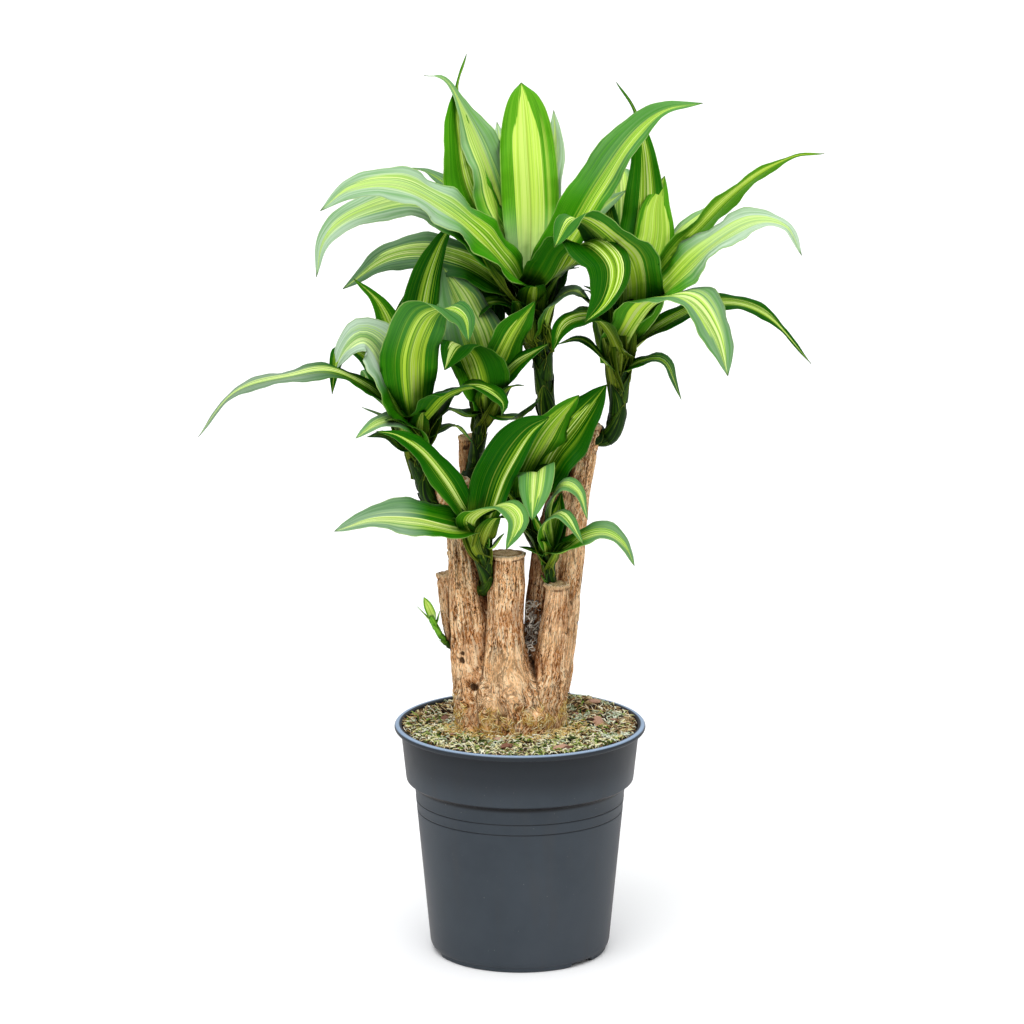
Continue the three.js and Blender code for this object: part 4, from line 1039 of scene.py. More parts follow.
def litter_soil(soil):
    """Covers the soil with its layers of bits, and gives back the stalk, which the trunk needs too."""
    curl = scrap_shape("curl", [(-2.6, 0, -0.3), (-1.2, 0.9, 0.9), (0.5, -0.2, 1.1), (2.0, 0.5, 0.2),
                                (2.7, -0.6, -0.4)], (0.25, 0.62, 0.7, 0.55, 0.2))
    stalk = scrap_shape("stalk", [(-5, 0, -0.2), (-1.5, 0.8, 0.8), (2, 0.2, 0.6), (5.5, -0.7, -0.2)],
                        (0.3, 0.5, 0.45, 0.2))
    clod = lump_shape("clod", (1.5, 1.2, 0.9), 3.0)
    chip = lump_shape("chip", (5.2, 3.3, 1.2), 8.0, 2)
    pebble = lump_shape("pebble", (1.1, 0.9, 0.8), 5.0)
    layers = [
        # piece, bit, finish, cover, bits for each square metre, least and most size, tilt, lift, seed
        ("moss_tufts", curl, MOSS, "moss_cover", 125000, 0.45, 1.65, 0.9, 0.0016, 11),
        ("straw_bits", stalk, STRAW, "straw_cover", 90000, 0.4, 1.15, 0.5, 0.0015, 12),
        ("dirt_crumbs", clod, CRUMB, "dirt_cover", 60000, 0.6, 2.0, 0.8, 0.0003, 13),
        ("ochre_wisps", stalk, OCHRE, "ochre_cover", 300000, 0.35, 1.05, 0.7, 0.0016, 14),
        ("bark_scraps", chip, CHIP, "chip_cover", 2400, 0.8, 1.7, 0.5, 0.0026, 15),
        ("pale_grit", pebble, GRIT, "grit_cover", 9000, 0.4, 1.1, 0.8, 0.001, 16),
        ("pale_curls", curl, PALE_MOSS, "lichen_cover", 120000, 0.6, 1.5, 0.9, 0.002, 17),
    ]
    for name, bit, material, cover, density, smallest, largest, tilt, lift, seed in layers:
        scatter(name, soil, bit, "potting_mix", Cover=cover, Density=float(density),
                Smallest=smallest, Largest=largest, Tilt=tilt, Lift=lift, Seed=seed,
                Material=material)
    for bit in (curl, clod, chip, pebble):
        removed(bit)
    return stalk


# ---------------------------------------------------------------- trunk

BARK_VOXEL = 1.6
FOOT_LEVEL = 206  # every cane goes on down into the soil
FLARE = {"left": 0.2, "front": 0.3, "right_stub": 0.1}  # swelling of a cane's foot
FUSED_BELOW, FUSED_FADE, FUSED_STEP = 258, 294, 4  # the foot is smoothed as one body up to here
CREASE, DEEP_CREASE = 2.4, 4.0  # between two canes, and between the front cane and the right stub
DEEP_PAIR = ("front", "right_stub")
RAGGED_TOPS = {"right_stub": 3.4, "left_stub": 1.8}  # broken rather than sawn
SAWN_RAGGED = 0.9
SCAR_STEP = 21  # along a cane, between the scars of old leaves
KNOT_HOLES = [(-44, 266, 5.4), (-56, 291, 4.6), (-55, 298, 3.4)]  # x, z and size, on the front
# where the bark is rubbed pale: x, y, z and size
WORN_PATCHES = [(-51, -26, 290, 17), (-27, -44, 256, 15), (30, -44, 262, 10), (-2, -46, 300, 8),
                (35, -36, 322, 13), (34, -34, 352, 12), (48, -2, 290, 17), (50, -2, 335, 14),
                (52, 0, 385, 15), (-8, -46, 268, 16)]
# split beside the front cane's foot
CRACK = [(5, -34, 326), (7, -36, 310), (10, -38, 305), (15, -40, 296), (20, -41, 286), (22, -42, 274)]
CRACK_DEPTH = 4


def cane_path(name):
    """Axis of a cane and its radii at the axis' own points, from below the soil to its top."""
    stations = np.array(CANES[name], float)
    step = stations[1] - stations[0]
    foot = stations[0] - step * (stations[0][2] - FOOT_LEVEL) / step[2] * 0.7
    foot[2:] = FOOT_LEVEL, stations[0][3]
    stations = np.vstack([foot, stations])
    z = stations[:, 2]
    swelling = smoothstep(z, 312, 246) * (1 - 0.5 * smoothstep(z, 236, 220))
    return Path(stations[:, :3]), stations[:, 3] * (1 + FLARE.get(name, 0) * swelling)


def radii_along(path, radii, along):
    return np.interp(path.place(along), np.linspace(0, 1, len(radii)), radii)


def cane_mesh(name, index):
    path, radii = cane_path(name)

    def radius_at(along, angles):
        ribs = 0.05 * np.sin(3 * angles + index + 4 * along) + 0.035 * np.sin(7 * angles + 5 * along)
        return radii_along(path, radii, along)[0] * (1 + ribs)

    return tube(path, radius_at, max(10, round(path.length / 5)), 40)


def crown_mesh():
    """Core that the canes grow out of, a little slimmer than their swollen feet."""
    angles = np.linspace(0, 2 * np.pi, 64, endpoint=False)
    table = np.array(ROOT_CROWN, float)
    rings = []
    for z in np.linspace(table[0, 0], table[-1, 0], 40):
        cx, cy, rx, ry = (np.interp(z, table[:, 0], table[:, k]) for k in range(1, 5))
        lump = 1 + 0.045 * np.sin(5 * angles + z / 30) + 0.03 * np.sin(9 * angles - z / 17)
        slim = mix(1, 0.92, smoothstep(z, 222, 244))
        rings.append(np.column_stack([cx + rx * lump * slim * np.cos(angles),
                                      cy + ry * lump * slim * np.sin(angles), np.full(64, z)]))
    return loft(rings)


def root_mesh(bearing, z, reach, drop, radius):
    dx, dy = math.cos(math.radians(bearing)), math.sin(math.radians(bearing))
    path = Path([(dx * out, dy * out, z - down)
                 for out, down in ((8, 0), (reach * 0.5, drop * 0.3), (reach, drop))])
    return tube(path, lambda along, angles: radius * (1 - 0.7 * along), 10, 16)


def nearest_canes(points):
    """For each point: its cane, that cane's axis point, radius and length there, and how much
    nearer that cane is than the next, with the next one's number."""
    gaps, spots, sizes, lengths = [], [], [], []
    for name in CANES:
        path, radii = cane_path(name)
        places = np.linspace(0, 1, 60)
        line, size = path.at(places), radii_along(path, radii, places)
        gap = np.linalg.norm(points[:, None] - line[None], axis=2) - size[None]
        nearest = gap.argmin(axis=1)
        gaps.append(gap[np.arange(len(points)), nearest])
        spots.append(line[nearest])
        sizes.append(size[nearest])
        lengths.append(places[nearest] * path.length)
    gaps = np.array(gaps)
    order = gaps.argsort(axis=0)
    rows = np.arange(len(points))
    first, second = order[0], order[1]
    lead = gaps[second, rows] - gaps[first, rows]
    return (first, np.array(spots)[first, rows], np.array(sizes)[first, rows],
            np.array(lengths)[first, rows], lead, second)


def noise_at(points, scales, offset=0.0):
    shift = Vector((offset, offset * 1.7, offset * 0.6))
    return np.array([noise.noise(Vector(p) + shift) for p in points * np.array(scales)])


class Bark:
    """The trunk's points, their normals and nearest canes, and their places along the grain."""

    def __init__(self, trunk):
        self.points, self.normals = points_of(trunk) / MM, normals_of(trunk)
        self.height = self.points[:, 2]
        nearest = nearest_canes(self.points)
        self.which, axis, size, self.along, self.lead, self.neighbour = nearest
        self.grain = (self.points - axis) * (17 / size)[:, None]
        self.grain += self.which[:, None] * np.array([31, 17, 53])
        self.grain[:, 2] = self.height
        swirl = mix(1.2, 6, smoothstep(self.height, 300, 262))
        for column, offset in ((0, 90), (1, 95)):
            self.grain[:, column] += swirl * self.lumps(17, offset)

    def lumps(self, size, offset=0.0):
        """Even noise with lumps of a size."""
        return noise_at(self.points, (1 / size,) * 3, offset)

    def fibres(self, width, length, offset=0.0):
        """Noise drawn out along the grain."""
        return noise_at(self.grain, (1 / width, 1 / width, 1 / length), offset)


def fused_trunk():
    """Canes, crown and roots as one skin, with the foot smoothed together."""
    parts = [cane_mesh(name, index) for index, name in enumerate(CANES)]
    parts += [crown_mesh()] + [root_mesh(*each) for each in ROOTS]
    trunk = piece_from("woody_trunk", *joined(parts))
    remesh = trunk.modifiers.new("fused", "REMESH")
    remesh.mode, remesh.voxel_size, remesh.use_smooth_shade = "VOXEL", BARK_VOXEL * MM, True
    relax = trunk.modifiers.new("relaxed", "SMOOTH")
    relax.factor, relax.iterations = 0.5, 4
    applied(trunk)

    height = points_of(trunk)[:, 2] / MM
    foot = trunk.vertex_groups.new(name="foot")
    levels = range(FUSED_BELOW, FUSED_FADE, FUSED_STEP)
    for level, share in zip(levels, np.linspace(1, 0.1, len(levels))):
        band = (height >= level) & (height < level + FUSED_STEP)
        foot.add(np.flatnonzero(band).tolist(), float(share), "REPLACE")
    foot.add(np.flatnonzero(height < FUSED_BELOW).tolist(), 1.0, "REPLACE")
    fuse = trunk.modifiers.new("fused_foot", "SMOOTH")
    fuse.factor, fuse.iterations, fuse.vertex_group = 0.5, 50, "foot"
    return applied(trunk)


def cane_tops(bark):
    """For each point: how far it is on a sawn end, in the groove under one and on its lip, how
    ragged the top is there, and how far it is from the middle of the sawn end."""
    cut, groove, lip, ragged, from_core = np.zeros((5, len(bark.points)))
    for index, (name, stations) in enumerate(CANES.items()):
        path = Path([station[:3] for station in stations])
        top, up, radius = path.at(1)[0], path.tangent(1)[0], stations[-1][3]
        rise = (bark.points - top) @ up
        off = np.linalg.norm(bark.points - top - rise[:, None] * up, axis=1)
        on_cane = off < radius * 1.3
        end = smoothstep(bark.normals @ up, 0.5, 0.85) * (np.abs(rise) < 4) * (off < radius * 1.1)
        cut = np.maximum(cut, end)
        from_core = np.where(end > 0, off / radius, from_core)
        collar = np.exp(-0.5 * ((rise + 5 + bark.lumps(10, 40) * 3) / 1.0) ** 2)
        groove = np.maximum(groove, collar * on_cane * (bark.which == index))
        edge = smoothstep(rise, -4.5, -2.5) * (rise < 3) * (off > radius * 0.75)
        lip = np.maximum(lip, edge * on_cane)
        broken = RAGGED_TOPS.get(name, SAWN_RAGGED)
        ragged = np.maximum(ragged, smoothstep(rise, -6, -1) * on_cane * broken)
    groove *= np.clip(0.75 + noise_at(bark.grain, (0.09,) * 3, 41) * 2, 0, 1)
    return cut, groove, lip, ragged, from_core


def creases(bark):
    """Depth of the creases between canes, and how much painted shade the valleys beside them get."""
    pair = [list(CANES).index(name) for name in DEEP_PAIR]
    deep = np.isin(bark.which, pair) & np.isin(bark.neighbour, pair)
    between = smoothstep(bark.height, 372, 330)
    out_of_foot = smoothstep(bark.height, 256, 296)
    crease = np.exp(-(bark.lead / 1.9) ** 2) * between * mix(0.12, 1, out_of_foot)
    valley_shade = 0.52 * np.exp(-(bark.lead / 5.5) ** 2) * between * mix(0.3, 1, out_of_foot)
    return np.where(deep, DEEP_CREASE, CREASE) * crease, np.maximum(crease, valley_shade)


def knots(bark):
    """Rise of the lips round the knot holes and of the holes themselves, and the painted shade in the
    holes.
    """
    rise, dark = np.zeros((2, len(bark.points)))
    for x, z, wide in KNOT_HOLES:
        off = np.hypot(bark.points[:, 0] - x, bark.points[:, 2] - z) + 100 * (bark.normals[:, 1] > -0.2)
        dip = np.exp(-0.5 * (off / (0.6 * wide)) ** 2)
        lip = np.exp(-0.5 * ((off - 1.5 * wide) / (0.5 * wide)) ** 2)
        rise += 0.8 * lip - 0.9 * wide * dip
        dark = np.maximum(dark, smoothstep(dip, 0.25, 0.7))
    return rise, dark


def crack(bark):
    line = Path(CRACK).at(np.linspace(0, 1, 24))
    off = np.linalg.norm((bark.points[:, None] - line[None]) * (1, 0.25, 1), axis=2).min(axis=1)
    return np.exp(-(off / (1.5 + bark.lumps(5, 80) * 1.4)) ** 2) * (bark.points[:, 1] < -15)


def worn_places(bark):
    worn, edge = np.zeros(len(bark.points)), 8 * bark.lumps(7, 50)
    for *centre, wide in WORN_PATCHES:
        off = np.linalg.norm((bark.points - centre) * (1, 1, 0.8), axis=1)
        worn = np.maximum(worn, smoothstep(off + edge, wide, wide * 0.4))
    return worn


def make_trunk():
    trunk = fused_trunk()
    bark = Bark(trunk)
    height, grain = bark.height, bark.grain
    shown = smoothstep(height, 205, 215)
    cut, groove, lip, ragged, from_core = cane_tops(bark)
    crease, valley_shade = creases(bark)
    knot, knot_shade = knots(bark)
    split = crack(bark)
    worn = worn_places(bark)

    # fissures and ribs along the grain, lumps, knobs at the foot, scars of old leaves
    fissure = 1 - np.minimum(1, np.abs(bark.fibres(6, 55)) * 5.5)
    fissure *= np.clip(0.45 + bark.lumps(24, 9) * 1.6, 0, 1)
    ribs, lumps = bark.fibres(3.4, 22, 3), bark.lumps(28, 5)
    knobs = bark.lumps(9, 13) * smoothstep(height, 310, 255)
    step = bark.along / SCAR_STEP + 0.3 * bark.fibres(20, 20, 21)
    scar = np.exp(-0.5 * ((step % 1 - 0.5) / 0.035) ** 2) * (bark.fibres(14, 14, 30) > 0.08)
    scar *= smoothstep(height, 290, 320)

    rise = 0.7 * ribs + 1.5 * lumps + 1.5 * knobs + 0.7 * lip + knot
    rise -= 1.5 * fissure + 0.5 * scar + 1.0 * groove + crease + CRACK_DEPTH * split
    rise *= (1 - 0.8 * cut) * shown
    bark.points += bark.normals * (rise + ragged * bark.lumps(2.6, 60))[:, None]
    trunk.data.vertices.foreach_set("co", (bark.points * MM).ravel())
    trunk.data.update()

    # painted shade in the hollows: fissures, crack, knot holes, leaf scars, grooves and the valleys between
    # canes
    hollow = np.max([0.75 * fissure, valley_shade, knot_shade, 1.1 * split, 0.8 * scar, 0.8 * groove], axis=0)
    mat_edge = height + 20 * bark.lumps(14, 70)
    patchy = np.clip(0.5 + 1.8 * bark.lumps(8, 75), 0, 1)
    front = -bark.points[:, 1]
    # worn holds the rubbed patches and a painted highlight on the lip of each cane top
    facts = {"hollow": hollow * (1 - cut), "worn": np.maximum(worn, 2.2 * lip),
             "cut": np.maximum(cut, 0.8 * (ragged > 1) * smoothstep(ragged, 1, 2)),
             "from_core": np.minimum(1, from_core * 0.9),
             "low": smoothstep(mat_edge, 250, 226) * smoothstep(front, -25, 15) * patchy,
             "fringe": (smoothstep(mat_edge, 252, 228) * smoothstep(front, -30, 10) * patchy
                        * (height > 212))}
    put_attribute(trunk, "grain", (grain + 200) * MM, "FLOAT_VECTOR")
    for name, values in facts.items():
        put_attribute(trunk, name, values)
    return finish_piece(trunk, ["trunk"], [BARK])


GAP_ROOTS = 150  # dry rootlets caught between the front cane and the right ones
GAP_CENTRE, GAP_HALF = (12, -13, 312), (7, 8, 34)
GAP_BENDS, GAP_STRAY = 4, 9  # of each rootlet, and how far it strays at each bend
GAP_THIN, GAP_THICKER = 0.35, 0.5


def make_gap_roots():
    draw = seeded(4242)
    least, most = np.subtract(GAP_CENTRE, GAP_HALF), np.add(GAP_CENTRE, GAP_HALF)
    parts = []
    for _ in range(GAP_ROOTS):
        points = [np.array([c + h * (2 * next(draw) - 1) for c, h in zip(GAP_CENTRE, GAP_HALF)])]
        for _ in range(GAP_BENDS):
            points.append(points[-1] + np.array([(next(draw) - 0.5) * GAP_STRAY for _ in range(3)]))
        apart = np.linspace(0, 0.4, GAP_BENDS + 1)[:, None]  # so that no two points fall together
        thick = GAP_THIN + GAP_THICKER * next(draw)
        parts.append(tube(Path(np.clip(points, least, most) + apart),
                          lambda along, angles, t=thick: t * (1 - 0.5 * along), 10, 5))
    roots = piece_from("gap_rootlets", *joined(parts))
    tones = np.concatenate([np.full(len(points), next(draw)) for points, _ in parts])
    put_attribute(roots, "tint", tones)
    return finish_piece(roots, [], [ROOTLET])


# ---------------------------------------------------------------- shoots

BLADE_WIDEST, BLADE_BASE, BLADE_ROOT, BLADE_CLASP = 0.45, 0.56, 4, 22
BLADE_COLUMNS, ROW_STEP = 13, 4
GOLDEN_ANGLE = 2.39996
BLADE_THICKNESS, MARGIN_THICKNESS = 0.95, 0.35
RIB_THICKNESS, RIB_SINK = 1.1, 0.25  # of the midrib at the leaf's foot, over the blade's own
FOLD_BASE, FOLD_OPEN = 40, 9  # degrees that each half stands up from flat
BELLY = 0.4  # fullness of each half, of its width
WAVE, FRILL = 0.075, 0.014  # rise of the waved margin, of the full width
WAVE_LENGTH, WAVE_LENGTHS_VARY, FRILL_LENGTH = 46, 22, 17
HORN_WIDTH = 0.13  # of a drawn-out tip, of the full width


def blade_width(along, tip):
    """Share of the full width: a full outline, or one that ends in a long narrow horn."""
    opening = mix(BLADE_BASE, 1, np.sin(np.pi / 2 * np.minimum(1, along / BLADE_WIDEST)))
    full = 1 - np.clip((along - 0.45) / 0.55, 0, 1) ** mix(3.6, 3, min(1, tip / 0.2))
    body = 1 - np.clip((along - 0.36) / 0.52, 0, 1) ** 2
    horn = HORN_WIDTH * np.sqrt(np.clip((1 - along) / 0.3, 0, 1)) * smoothstep(along, 0.6, 0.8)
    return opening * mix(full, np.hypot(body, horn), tip)


def sideways(bearing):
    """Unit steps outwards at a bearing: x and y."""
    return math.cos(math.radians(bearing)), math.sin(math.radians(bearing))


def midrib(stem, seat, bearing, points):
    crown = stem.at(1)[0]
    seat_point = stem.at(max(0.35, 1 - seat / stem.length))[0]
    out = np.array([*sideways(bearing), 0])
    clasp = min(BLADE_CLASP, 0.3 * np.linalg.norm(points[0]))
    return Path([seat_point - (0, 0, BLADE_ROOT), seat_point + out * 0.3 * clasp + (0, 0, 0.8 * clasp),
                 *[crown + np.array(p, float) for p in points]])


def blade(stem, leaf, draw):
    """One leaf: points, faces of its upper and under side, UV pairs, and facts for its finish."""
    seat, width, bearing, roll, (band, side_step), (shade, veil), tip, points = leaf
    path = midrib(stem, seat, bearing, points)
    waves = (next(draw) * 6, next(draw) * 6)
    wave_length = WAVE_LENGTH + WAVE_LENGTHS_VARY * next(draw)
    rows = int(np.clip(round(path.length / ROW_STEP), 8, 64))
    along = np.linspace(0, 1, rows + 1)
    walked = along * path.length
    centre, tangent = path.at(along), path.tangent(along)
    level = np.array([*sideways(bearing + 90), 0])
    across = unit(level - tangent * (tangent @ level)[:, None])
    across = turned(across, tangent, math.radians(roll) * smoothstep(along, 0, 0.28))
    face = np.cross(tangent, across)
    half = np.maximum(0.3, width * blade_width(along, tip) / 2)
    fold = np.radians(mix(FOLD_BASE, FOLD_OPEN, smoothstep(along, 0, 0.5)))
    swell = np.sin(np.pi * along) * width
    upper, under, pairs = [], [], []
    for column in range(BLADE_COLUMNS):
        side = 1 - 2 * column / (BLADE_COLUMNS - 1)
        off = abs(side)
        phase = waves[0] if side > 0 else waves[1]
        wave = WAVE * swell * np.sin(2 * np.pi * walked / wave_length + phase) * off ** 1.7
        frill = FRILL * swell * np.sin(2 * np.pi * walked / FRILL_LENGTH + 3 * phase) * off ** 3
        belly = BELLY * half * off * (1 - off)
        rise = half * np.sin(fold) * off ** 1.25 + wave + frill + belly
        place = centre + across * (side * half * np.cos(fold))[:, None] + face * rise[:, None]
        thick = mix(BLADE_THICKNESS, MARGIN_THICKNESS, off ** 1.5) * mix(1.15, 0.6, along)
        if column == BLADE_COLUMNS // 2:
            thick = thick + RIB_THICKNESS * (1 - along) ** 2
            place = place - face * (RIB_SINK * (1 - along))[:, None]
        upper.append(place)
        under.append(place - face * thick[:, None])
        pairs.append(np.column_stack([np.full(rows + 1, (1 - side) / 2), along]))
    facts = {"band": band, "side": side_step, "shade": shade, "veil": veil, "seed": next(draw),
             "reach": path.length * MM}
    return (*sheet(upper, under), grid_order(pairs), facts)


def grid_order(columns):
    """Columns of rows, as one list that runs along each row in turn, for both sides."""
    listed = np.stack(columns, axis=1).reshape(-1, columns[0].shape[1])
    return np.vstack([listed, listed])


def sheet(upper, under):
    """Closed thin body between two grids given as columns: points, upper faces and under faces."""
    wide, rows = len(upper), len(upper[0]) - 1
    grid = [np.stack(columns, axis=1).reshape(-1, 3) for columns in (upper, under)]
    count = len(grid[0])
    tops, bottoms, rim = [], [], []
    for row in range(rows):
        for column in range(wide - 1):
            a = row * wide + column
            quad = (a, a + 1, a + wide + 1, a + wide)
            tops.append(quad)
            bottoms.append(tuple(count + corner for corner in reversed(quad)))
        left, right = row * wide, row * wide + wide - 1
        rim.append((left, left + wide, count + left + wide, count + left))
        rim.append((right + wide, right, count + right, count + right + wide))
    last = rows * wide
    for column in range(wide - 1):
        rim.append((column + 1, column, count + column, count + column + 1))
        rim.append((last + column, last + column + 1, count + last + column + 1, count + last + column))
    return np.vstack(grid), tops + rim, bottoms


# How many short leaves stand under each crown, their least rise, and the share of it lost in front.
BASAL_LEAVES = {
    "shoot_top_left": (10, 32, 0.3), "shoot_top_right": (10, 54, 0), "shoot_mid_left": (6, 36, 0.2),
    "shoot_mid_centre": (5, 34, 0.2), "shoot_low_centre": (4, 32, 0.3), "shoot_inner": (3, 32, 0.3),
    "shoot_low_right": (4, 32, 0.3)}
BASAL_FIRST, BASAL_STEP = 18, 5.5  # depth of their seats under the crown
BASAL_LINE = ((0.3, 0.35), (0.6, 0.72), (1.0, 1.0), (1.5, 1.08))  # midrib: shares of reach and rise


def basal_leaves(name, shoot, index):
    """Short dark leaves that stand round the stem under the crown and thicken its inside."""
    count, least_rise, lost = BASAL_LEAVES.get(name, (0, 0, 0))
    draw = seeded(600 + index)
    scale = shoot["radii"][1] / 8
    leaves = []
    for number in range(count):
        bearing = math.degrees(number * GOLDEN_ANGLE) + 40 * index + 30 * next(draw)
        seat = (BASAL_FIRST + BASAL_STEP * number) * scale
        dx, dy = sideways(bearing)
        front = max(0, -dy)
        reach = (18 + 26 * next(draw)) * scale
        rise = ((least_rise + 20 * next(draw)) * scale + 0.8 * seat) * (1 - lost * front)
        line = [(dx * reach * out, dy * reach * out, rise * up - seat) for out, up in BASAL_LINE]
        width = (31 + 10 * next(draw)) * scale * (1 - 0.25 * front)
        shade = 0.85 + 0.12 * next(draw)
        leaves.append((seat, width, bearing, 0, (0.3, 0), (shade, 0), 0.3, line))
    return leaves


def make_leaves(name, shoot, index):
    stem = Path(shoot["stem"])
    draw = seeded(101 + index)
    points, uppers, unders, uv = [], [], [], []
    facts = {fact: [] for fact in ("band", "side", "shade", "veil", "seed", "reach")}
    count = 0
    for leaf in shoot["leaves"] + basal_leaves(name, shoot, index):
        some, tops, bottoms, pairs, leaf_facts = blade(stem, leaf, draw)
        points.append(some)
        uppers += [tuple(c + count for c in face) for face in tops]
        unders += [tuple(c + count for c in face) for face in bottoms]
        uv.append(pairs)
        for key, value in leaf_facts.items():
            facts[key].append(np.full(len(some), value))
        count += len(some)
    leaves = piece_from(name + "_leaves", np.vstack(points), uppers + unders)
    put_uv(leaves, "blade", np.vstack(uv))
    for key, values in facts.items():
        put_attribute(leaves, key, np.concatenate(values))
    finish_piece(leaves, [name], [LEAF_UPPER, LEAF_UNDER])
    leaves.data.polygons.foreach_set("material_index", [0] * len(uppers) + [1] * len(unders))
    return leaves


SHEATH_STEP = 1.5  # spacing of the old leaf bases, in radii of the stem
SHEATH_REACH = 3.6  # their length, in radii
SHEATH_ROWS, SHEATH_COLUMNS, SHEATH_WRAP = 9, 11, 118  # and how far round it wraps to each side


def sheath(stem, place, bearing, radius, reach, lean):
    """Old leaf base wrapped round the stem, with a pointed tip that stands off."""
    along = np.linspace(0, 1, SHEATH_ROWS)
    sides = np.linspace(-1, 1, SHEATH_COLUMNS)
    spots = np.minimum(1, place + along * reach / stem.length)
    centre, tangent = stem.at(spots), stem.tangent(spots)
    first = unit(np.cross(tangent, (0.31, 0.95, 0.12)))
    second = np.cross(tangent, first)
    walked = (along * reach + place * stem.length) * MM
    inner, outer, pairs, edge = [], [], [], []
    for side in sides:
        angle = bearing + side * np.radians(mix(SHEATH_WRAP, 3, along ** 1.5))
        out = np.cos(angle)[:, None] * first + np.sin(angle)[:, None] * second
        stand = radius * (1.0 + 0.07 * along) + lean * along ** 3 - 0.3 * (along == 0)
        inner.append(centre + out * stand[:, None])
        outer.append(centre + out * (stand + mix(0.75, 0.3, along) * (1 - 0.6 * side ** 2))[:, None])
        around = 0.3 * (side + 1) + 0.3 * np.sin(bearing)
        pairs.append(np.column_stack([np.full(SHEATH_ROWS, around), walked]))
        edge.append(np.maximum(along, abs(side) ** 3)[:, None])
    points, tops, bottoms = sheet(outer, inner)
    return points, tops + bottoms, grid_order(pairs), grid_order(edge)[:, 0]


def make_stem(name, shoot, index):
    """Stem wrapped in old leaf bases, with the pointed unopened heart at its crown."""
    stem = Path(shoot["stem"])
    first, last = shoot["radii"]
    heart = 1.7 * last
    tip = stem.at(1)[0] + stem.tangent(1)[0] * heart
    path = Path([*shoot["stem"], tuple(tip)])
    steps, sides = int(path.length / 2), 24
    angles = np.linspace(0, 2 * np.pi, sides, endpoint=False)

    def radius_at(along, around):
        millimetres = along * path.length
        radius = mix(first, last, min(1, millimetres / stem.length)) * 0.93
        radius *= mix(0.62, 1, float(smoothstep(millimetres, 0, 2.2 * first)))
        beyond = max(0, millimetres - stem.length + 1.6 * last) / (heart + 1.6 * last)
        swell = 1 + 0.5 * math.sin(math.pi * min(1, beyond)) - 0.75 * max(0, beyond - 0.4)
        ring = 0.03 * np.sin(2 * np.pi * millimetres / (0.8 * first) + 0.8 * np.sin(around))
        return radius * (max(0.12, swell) + ring)

    points, faces = tube(path, radius_at, steps, sides)
    around = np.concatenate([np.tile(np.abs(angles / np.pi - 1), steps + 1), [0, 0]])
    heights = np.concatenate([np.repeat(np.linspace(0, path.length, steps + 1) * MM, sides), [0, 0]])
    parts = [(points, faces)]
    uv = [np.column_stack([around, heights])]
    marks = [np.full(len(points), 0.5)]
    draw = seeded(900 + index)
    place, count = 0.04, 0
    while place * stem.length < stem.length - 1.5 * last:
        radius = mix(first, last, place) * (0.97 + 0.05 * next(draw))
        reach = SHEATH_REACH * first * (0.7 + 0.6 * next(draw))
        lean = first * (0.04 + 0.6 * next(draw) ** 3)
        some, some_faces, pairs, edge = sheath(stem, place, count * GOLDEN_ANGLE, radius, reach, lean)
        parts.append((some, some_faces))
        uv.append(pairs)
        marks.append(edge)
        place += SHEATH_STEP * first / stem.length
        count += 1
    piece = piece_from(name + "_stem", *joined(parts))
    put_uv(piece, "blade", np.vstack(uv))
    put_attribute(piece, "sheath", np.concatenate(marks))
    put_attribute(piece, "seed", np.full(len(piece.data.vertices), index * 3.1))
    young = 0.85 * (name == "sprout_left") * smoothstep(points_of(piece)[:, 2] / MM, 297, 318)
    put_attribute(piece, "young", young)
    return finish_piece(piece, [name], [STEM])


SHELTER_REACH, SHELTER_LIFT = 0.11, 0.0016


def shelter(pieces, blockers, rays):
    """Gives each piece how much of the space over each point is blocked by the plant close by, which the
    finishes paint as shade.
    """
    corners, faces, count = [], [], 0
    for piece in blockers:
        corners += [tuple(vertex.co) for vertex in piece.data.vertices]
        faces += [[corner + count for corner in polygon.vertices] for polygon in piece.data.polygons]
        count = len(corners)
    tree = BVHTree.FromPolygons(corners, faces)
    spread = []
    for k in range(rays):
        rise = 1 - 2 * (k + 0.5) / rays
        out, turn = math.sqrt(1 - rise * rise), k * GOLDEN_ANGLE
        spread.append(Vector((out * math.cos(turn), out * math.sin(turn), rise)) * 0.95)
    for piece in pieces:
        values = []
        for vertex, facing in zip(piece.data.vertices, piece.data.vertex_normals):
            normal = facing.vector.copy()
            start = vertex.co + normal * SHELTER_LIFT
            blocked = 0.0
            for way in spread:
                found = tree.ray_cast(start, (way + normal).normalized(), SHELTER_REACH)
                if found[0] is not None:
                    blocked += 1 - 0.6 * found[3] / SHELTER_REACH
            values.append(blocked / rays)
        put_attribute(piece, "shelter", values)


# ---------------------------------------------------------------- making the plant

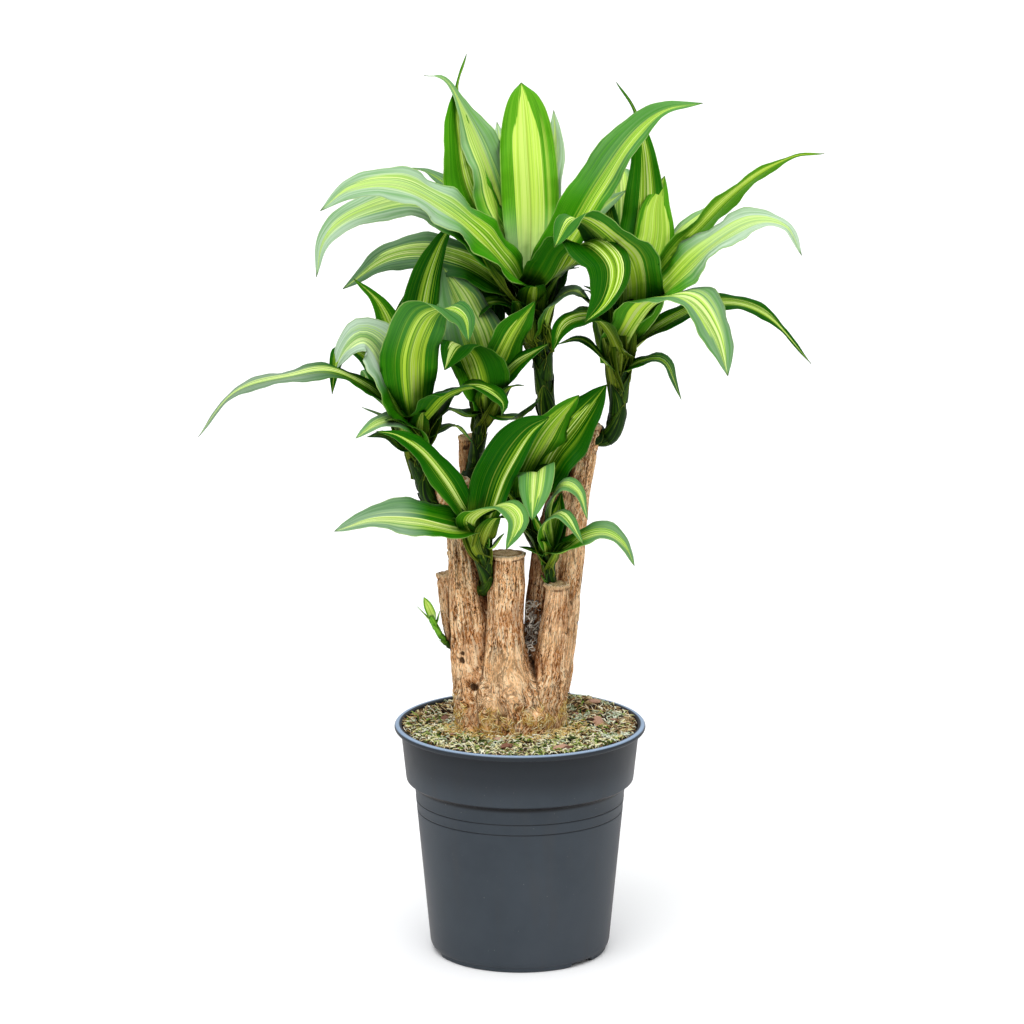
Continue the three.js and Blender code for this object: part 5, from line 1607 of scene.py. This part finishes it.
make_pot()
soil = make_soil()
stalk = litter_soil(soil)
trunk = make_trunk()
make_gap_roots()
scatter("trunk_fringe", trunk, stalk, "bark", Cover="fringe", Density=380000.0, Smallest=0.3,
        Largest=0.95, Tilt=0.8, Lift=0.0006, Seed=21, Material=OCHRE)
removed(stalk)
grown = []
for index, (name, shoot) in enumerate(SHOOTS.items()):
    grown += [make_leaves(name, shoot, index), make_stem(name, shoot, index)]
shelter(grown, [*grown, trunk], 14)
shelter([trunk], [*grown, trunk], 8)

# ---------------------------------------------------------------- floor, light and camera


def make_floor():
    material, tree, surface = new_material("pale_floor")
    connect(tree, surface, Base_Color=colour("#fafafa"), Roughness=0.9, Specular_IOR_Level=0.1)
    reach = 40
    floor = piece_from("floor", [(-reach, -reach, 0), (reach, -reach, 0), (reach, reach, 0),
                                 (-reach, reach, 0)], [(0, 1, 2, 3)], scale=1, smooth=False)
    floor.data.materials.append(material)


def soft_sun(name, source, power, spread, tone):
    """Even light from a direction, as from a large softbox; spread is its apparent size in degrees."""
    data = bpy.data.lights.new(name, "SUN")
    data.energy, data.angle, data.color = power, math.radians(spread), colour(tone)[:3]
    light = bpy.data.objects.new(name, data)
    light.rotation_euler = Vector(source).to_track_quat("Z", "Y").to_euler()
    bpy.context.scene.collection.objects.link(light)


def make_sky(tone, strength):
    world = bpy.data.worlds.new("studio")
    world.use_nodes = True
    background = world.node_tree.nodes["Background"]
    background.inputs["Color"].default_value = colour(tone)
    background.inputs["Strength"].default_value = strength
    bpy.context.scene.world = world


def make_camera():
    data = bpy.data.cameras.new("camera")
    data.sensor_width, data.lens = 36, 160.25
    data.clip_end = 200
    camera = bpy.data.objects.new("camera", data)
    camera.location = (-0.0076, -4.2, 1.386)
    camera.rotation_euler = (math.radians(77.17), 0, 0)
    bpy.context.scene.collection.objects.link(camera)
    bpy.context.scene.camera = camera


make_floor()
make_camera()
soft_sun("key", (-0.25, -0.9, 1.15), 1.95, 60, "#ffffff")
soft_sun("top", (0.05, 0.2, 1.0), 1.6, 90, "#ffffff")
soft_sun("side", (1.0, -0.5, 0.35), 0.3, 60, "#fff8ee")
make_sky("#f7faff", 0.42)
bpy.context.scene.view_settings.view_transform = "Standard"
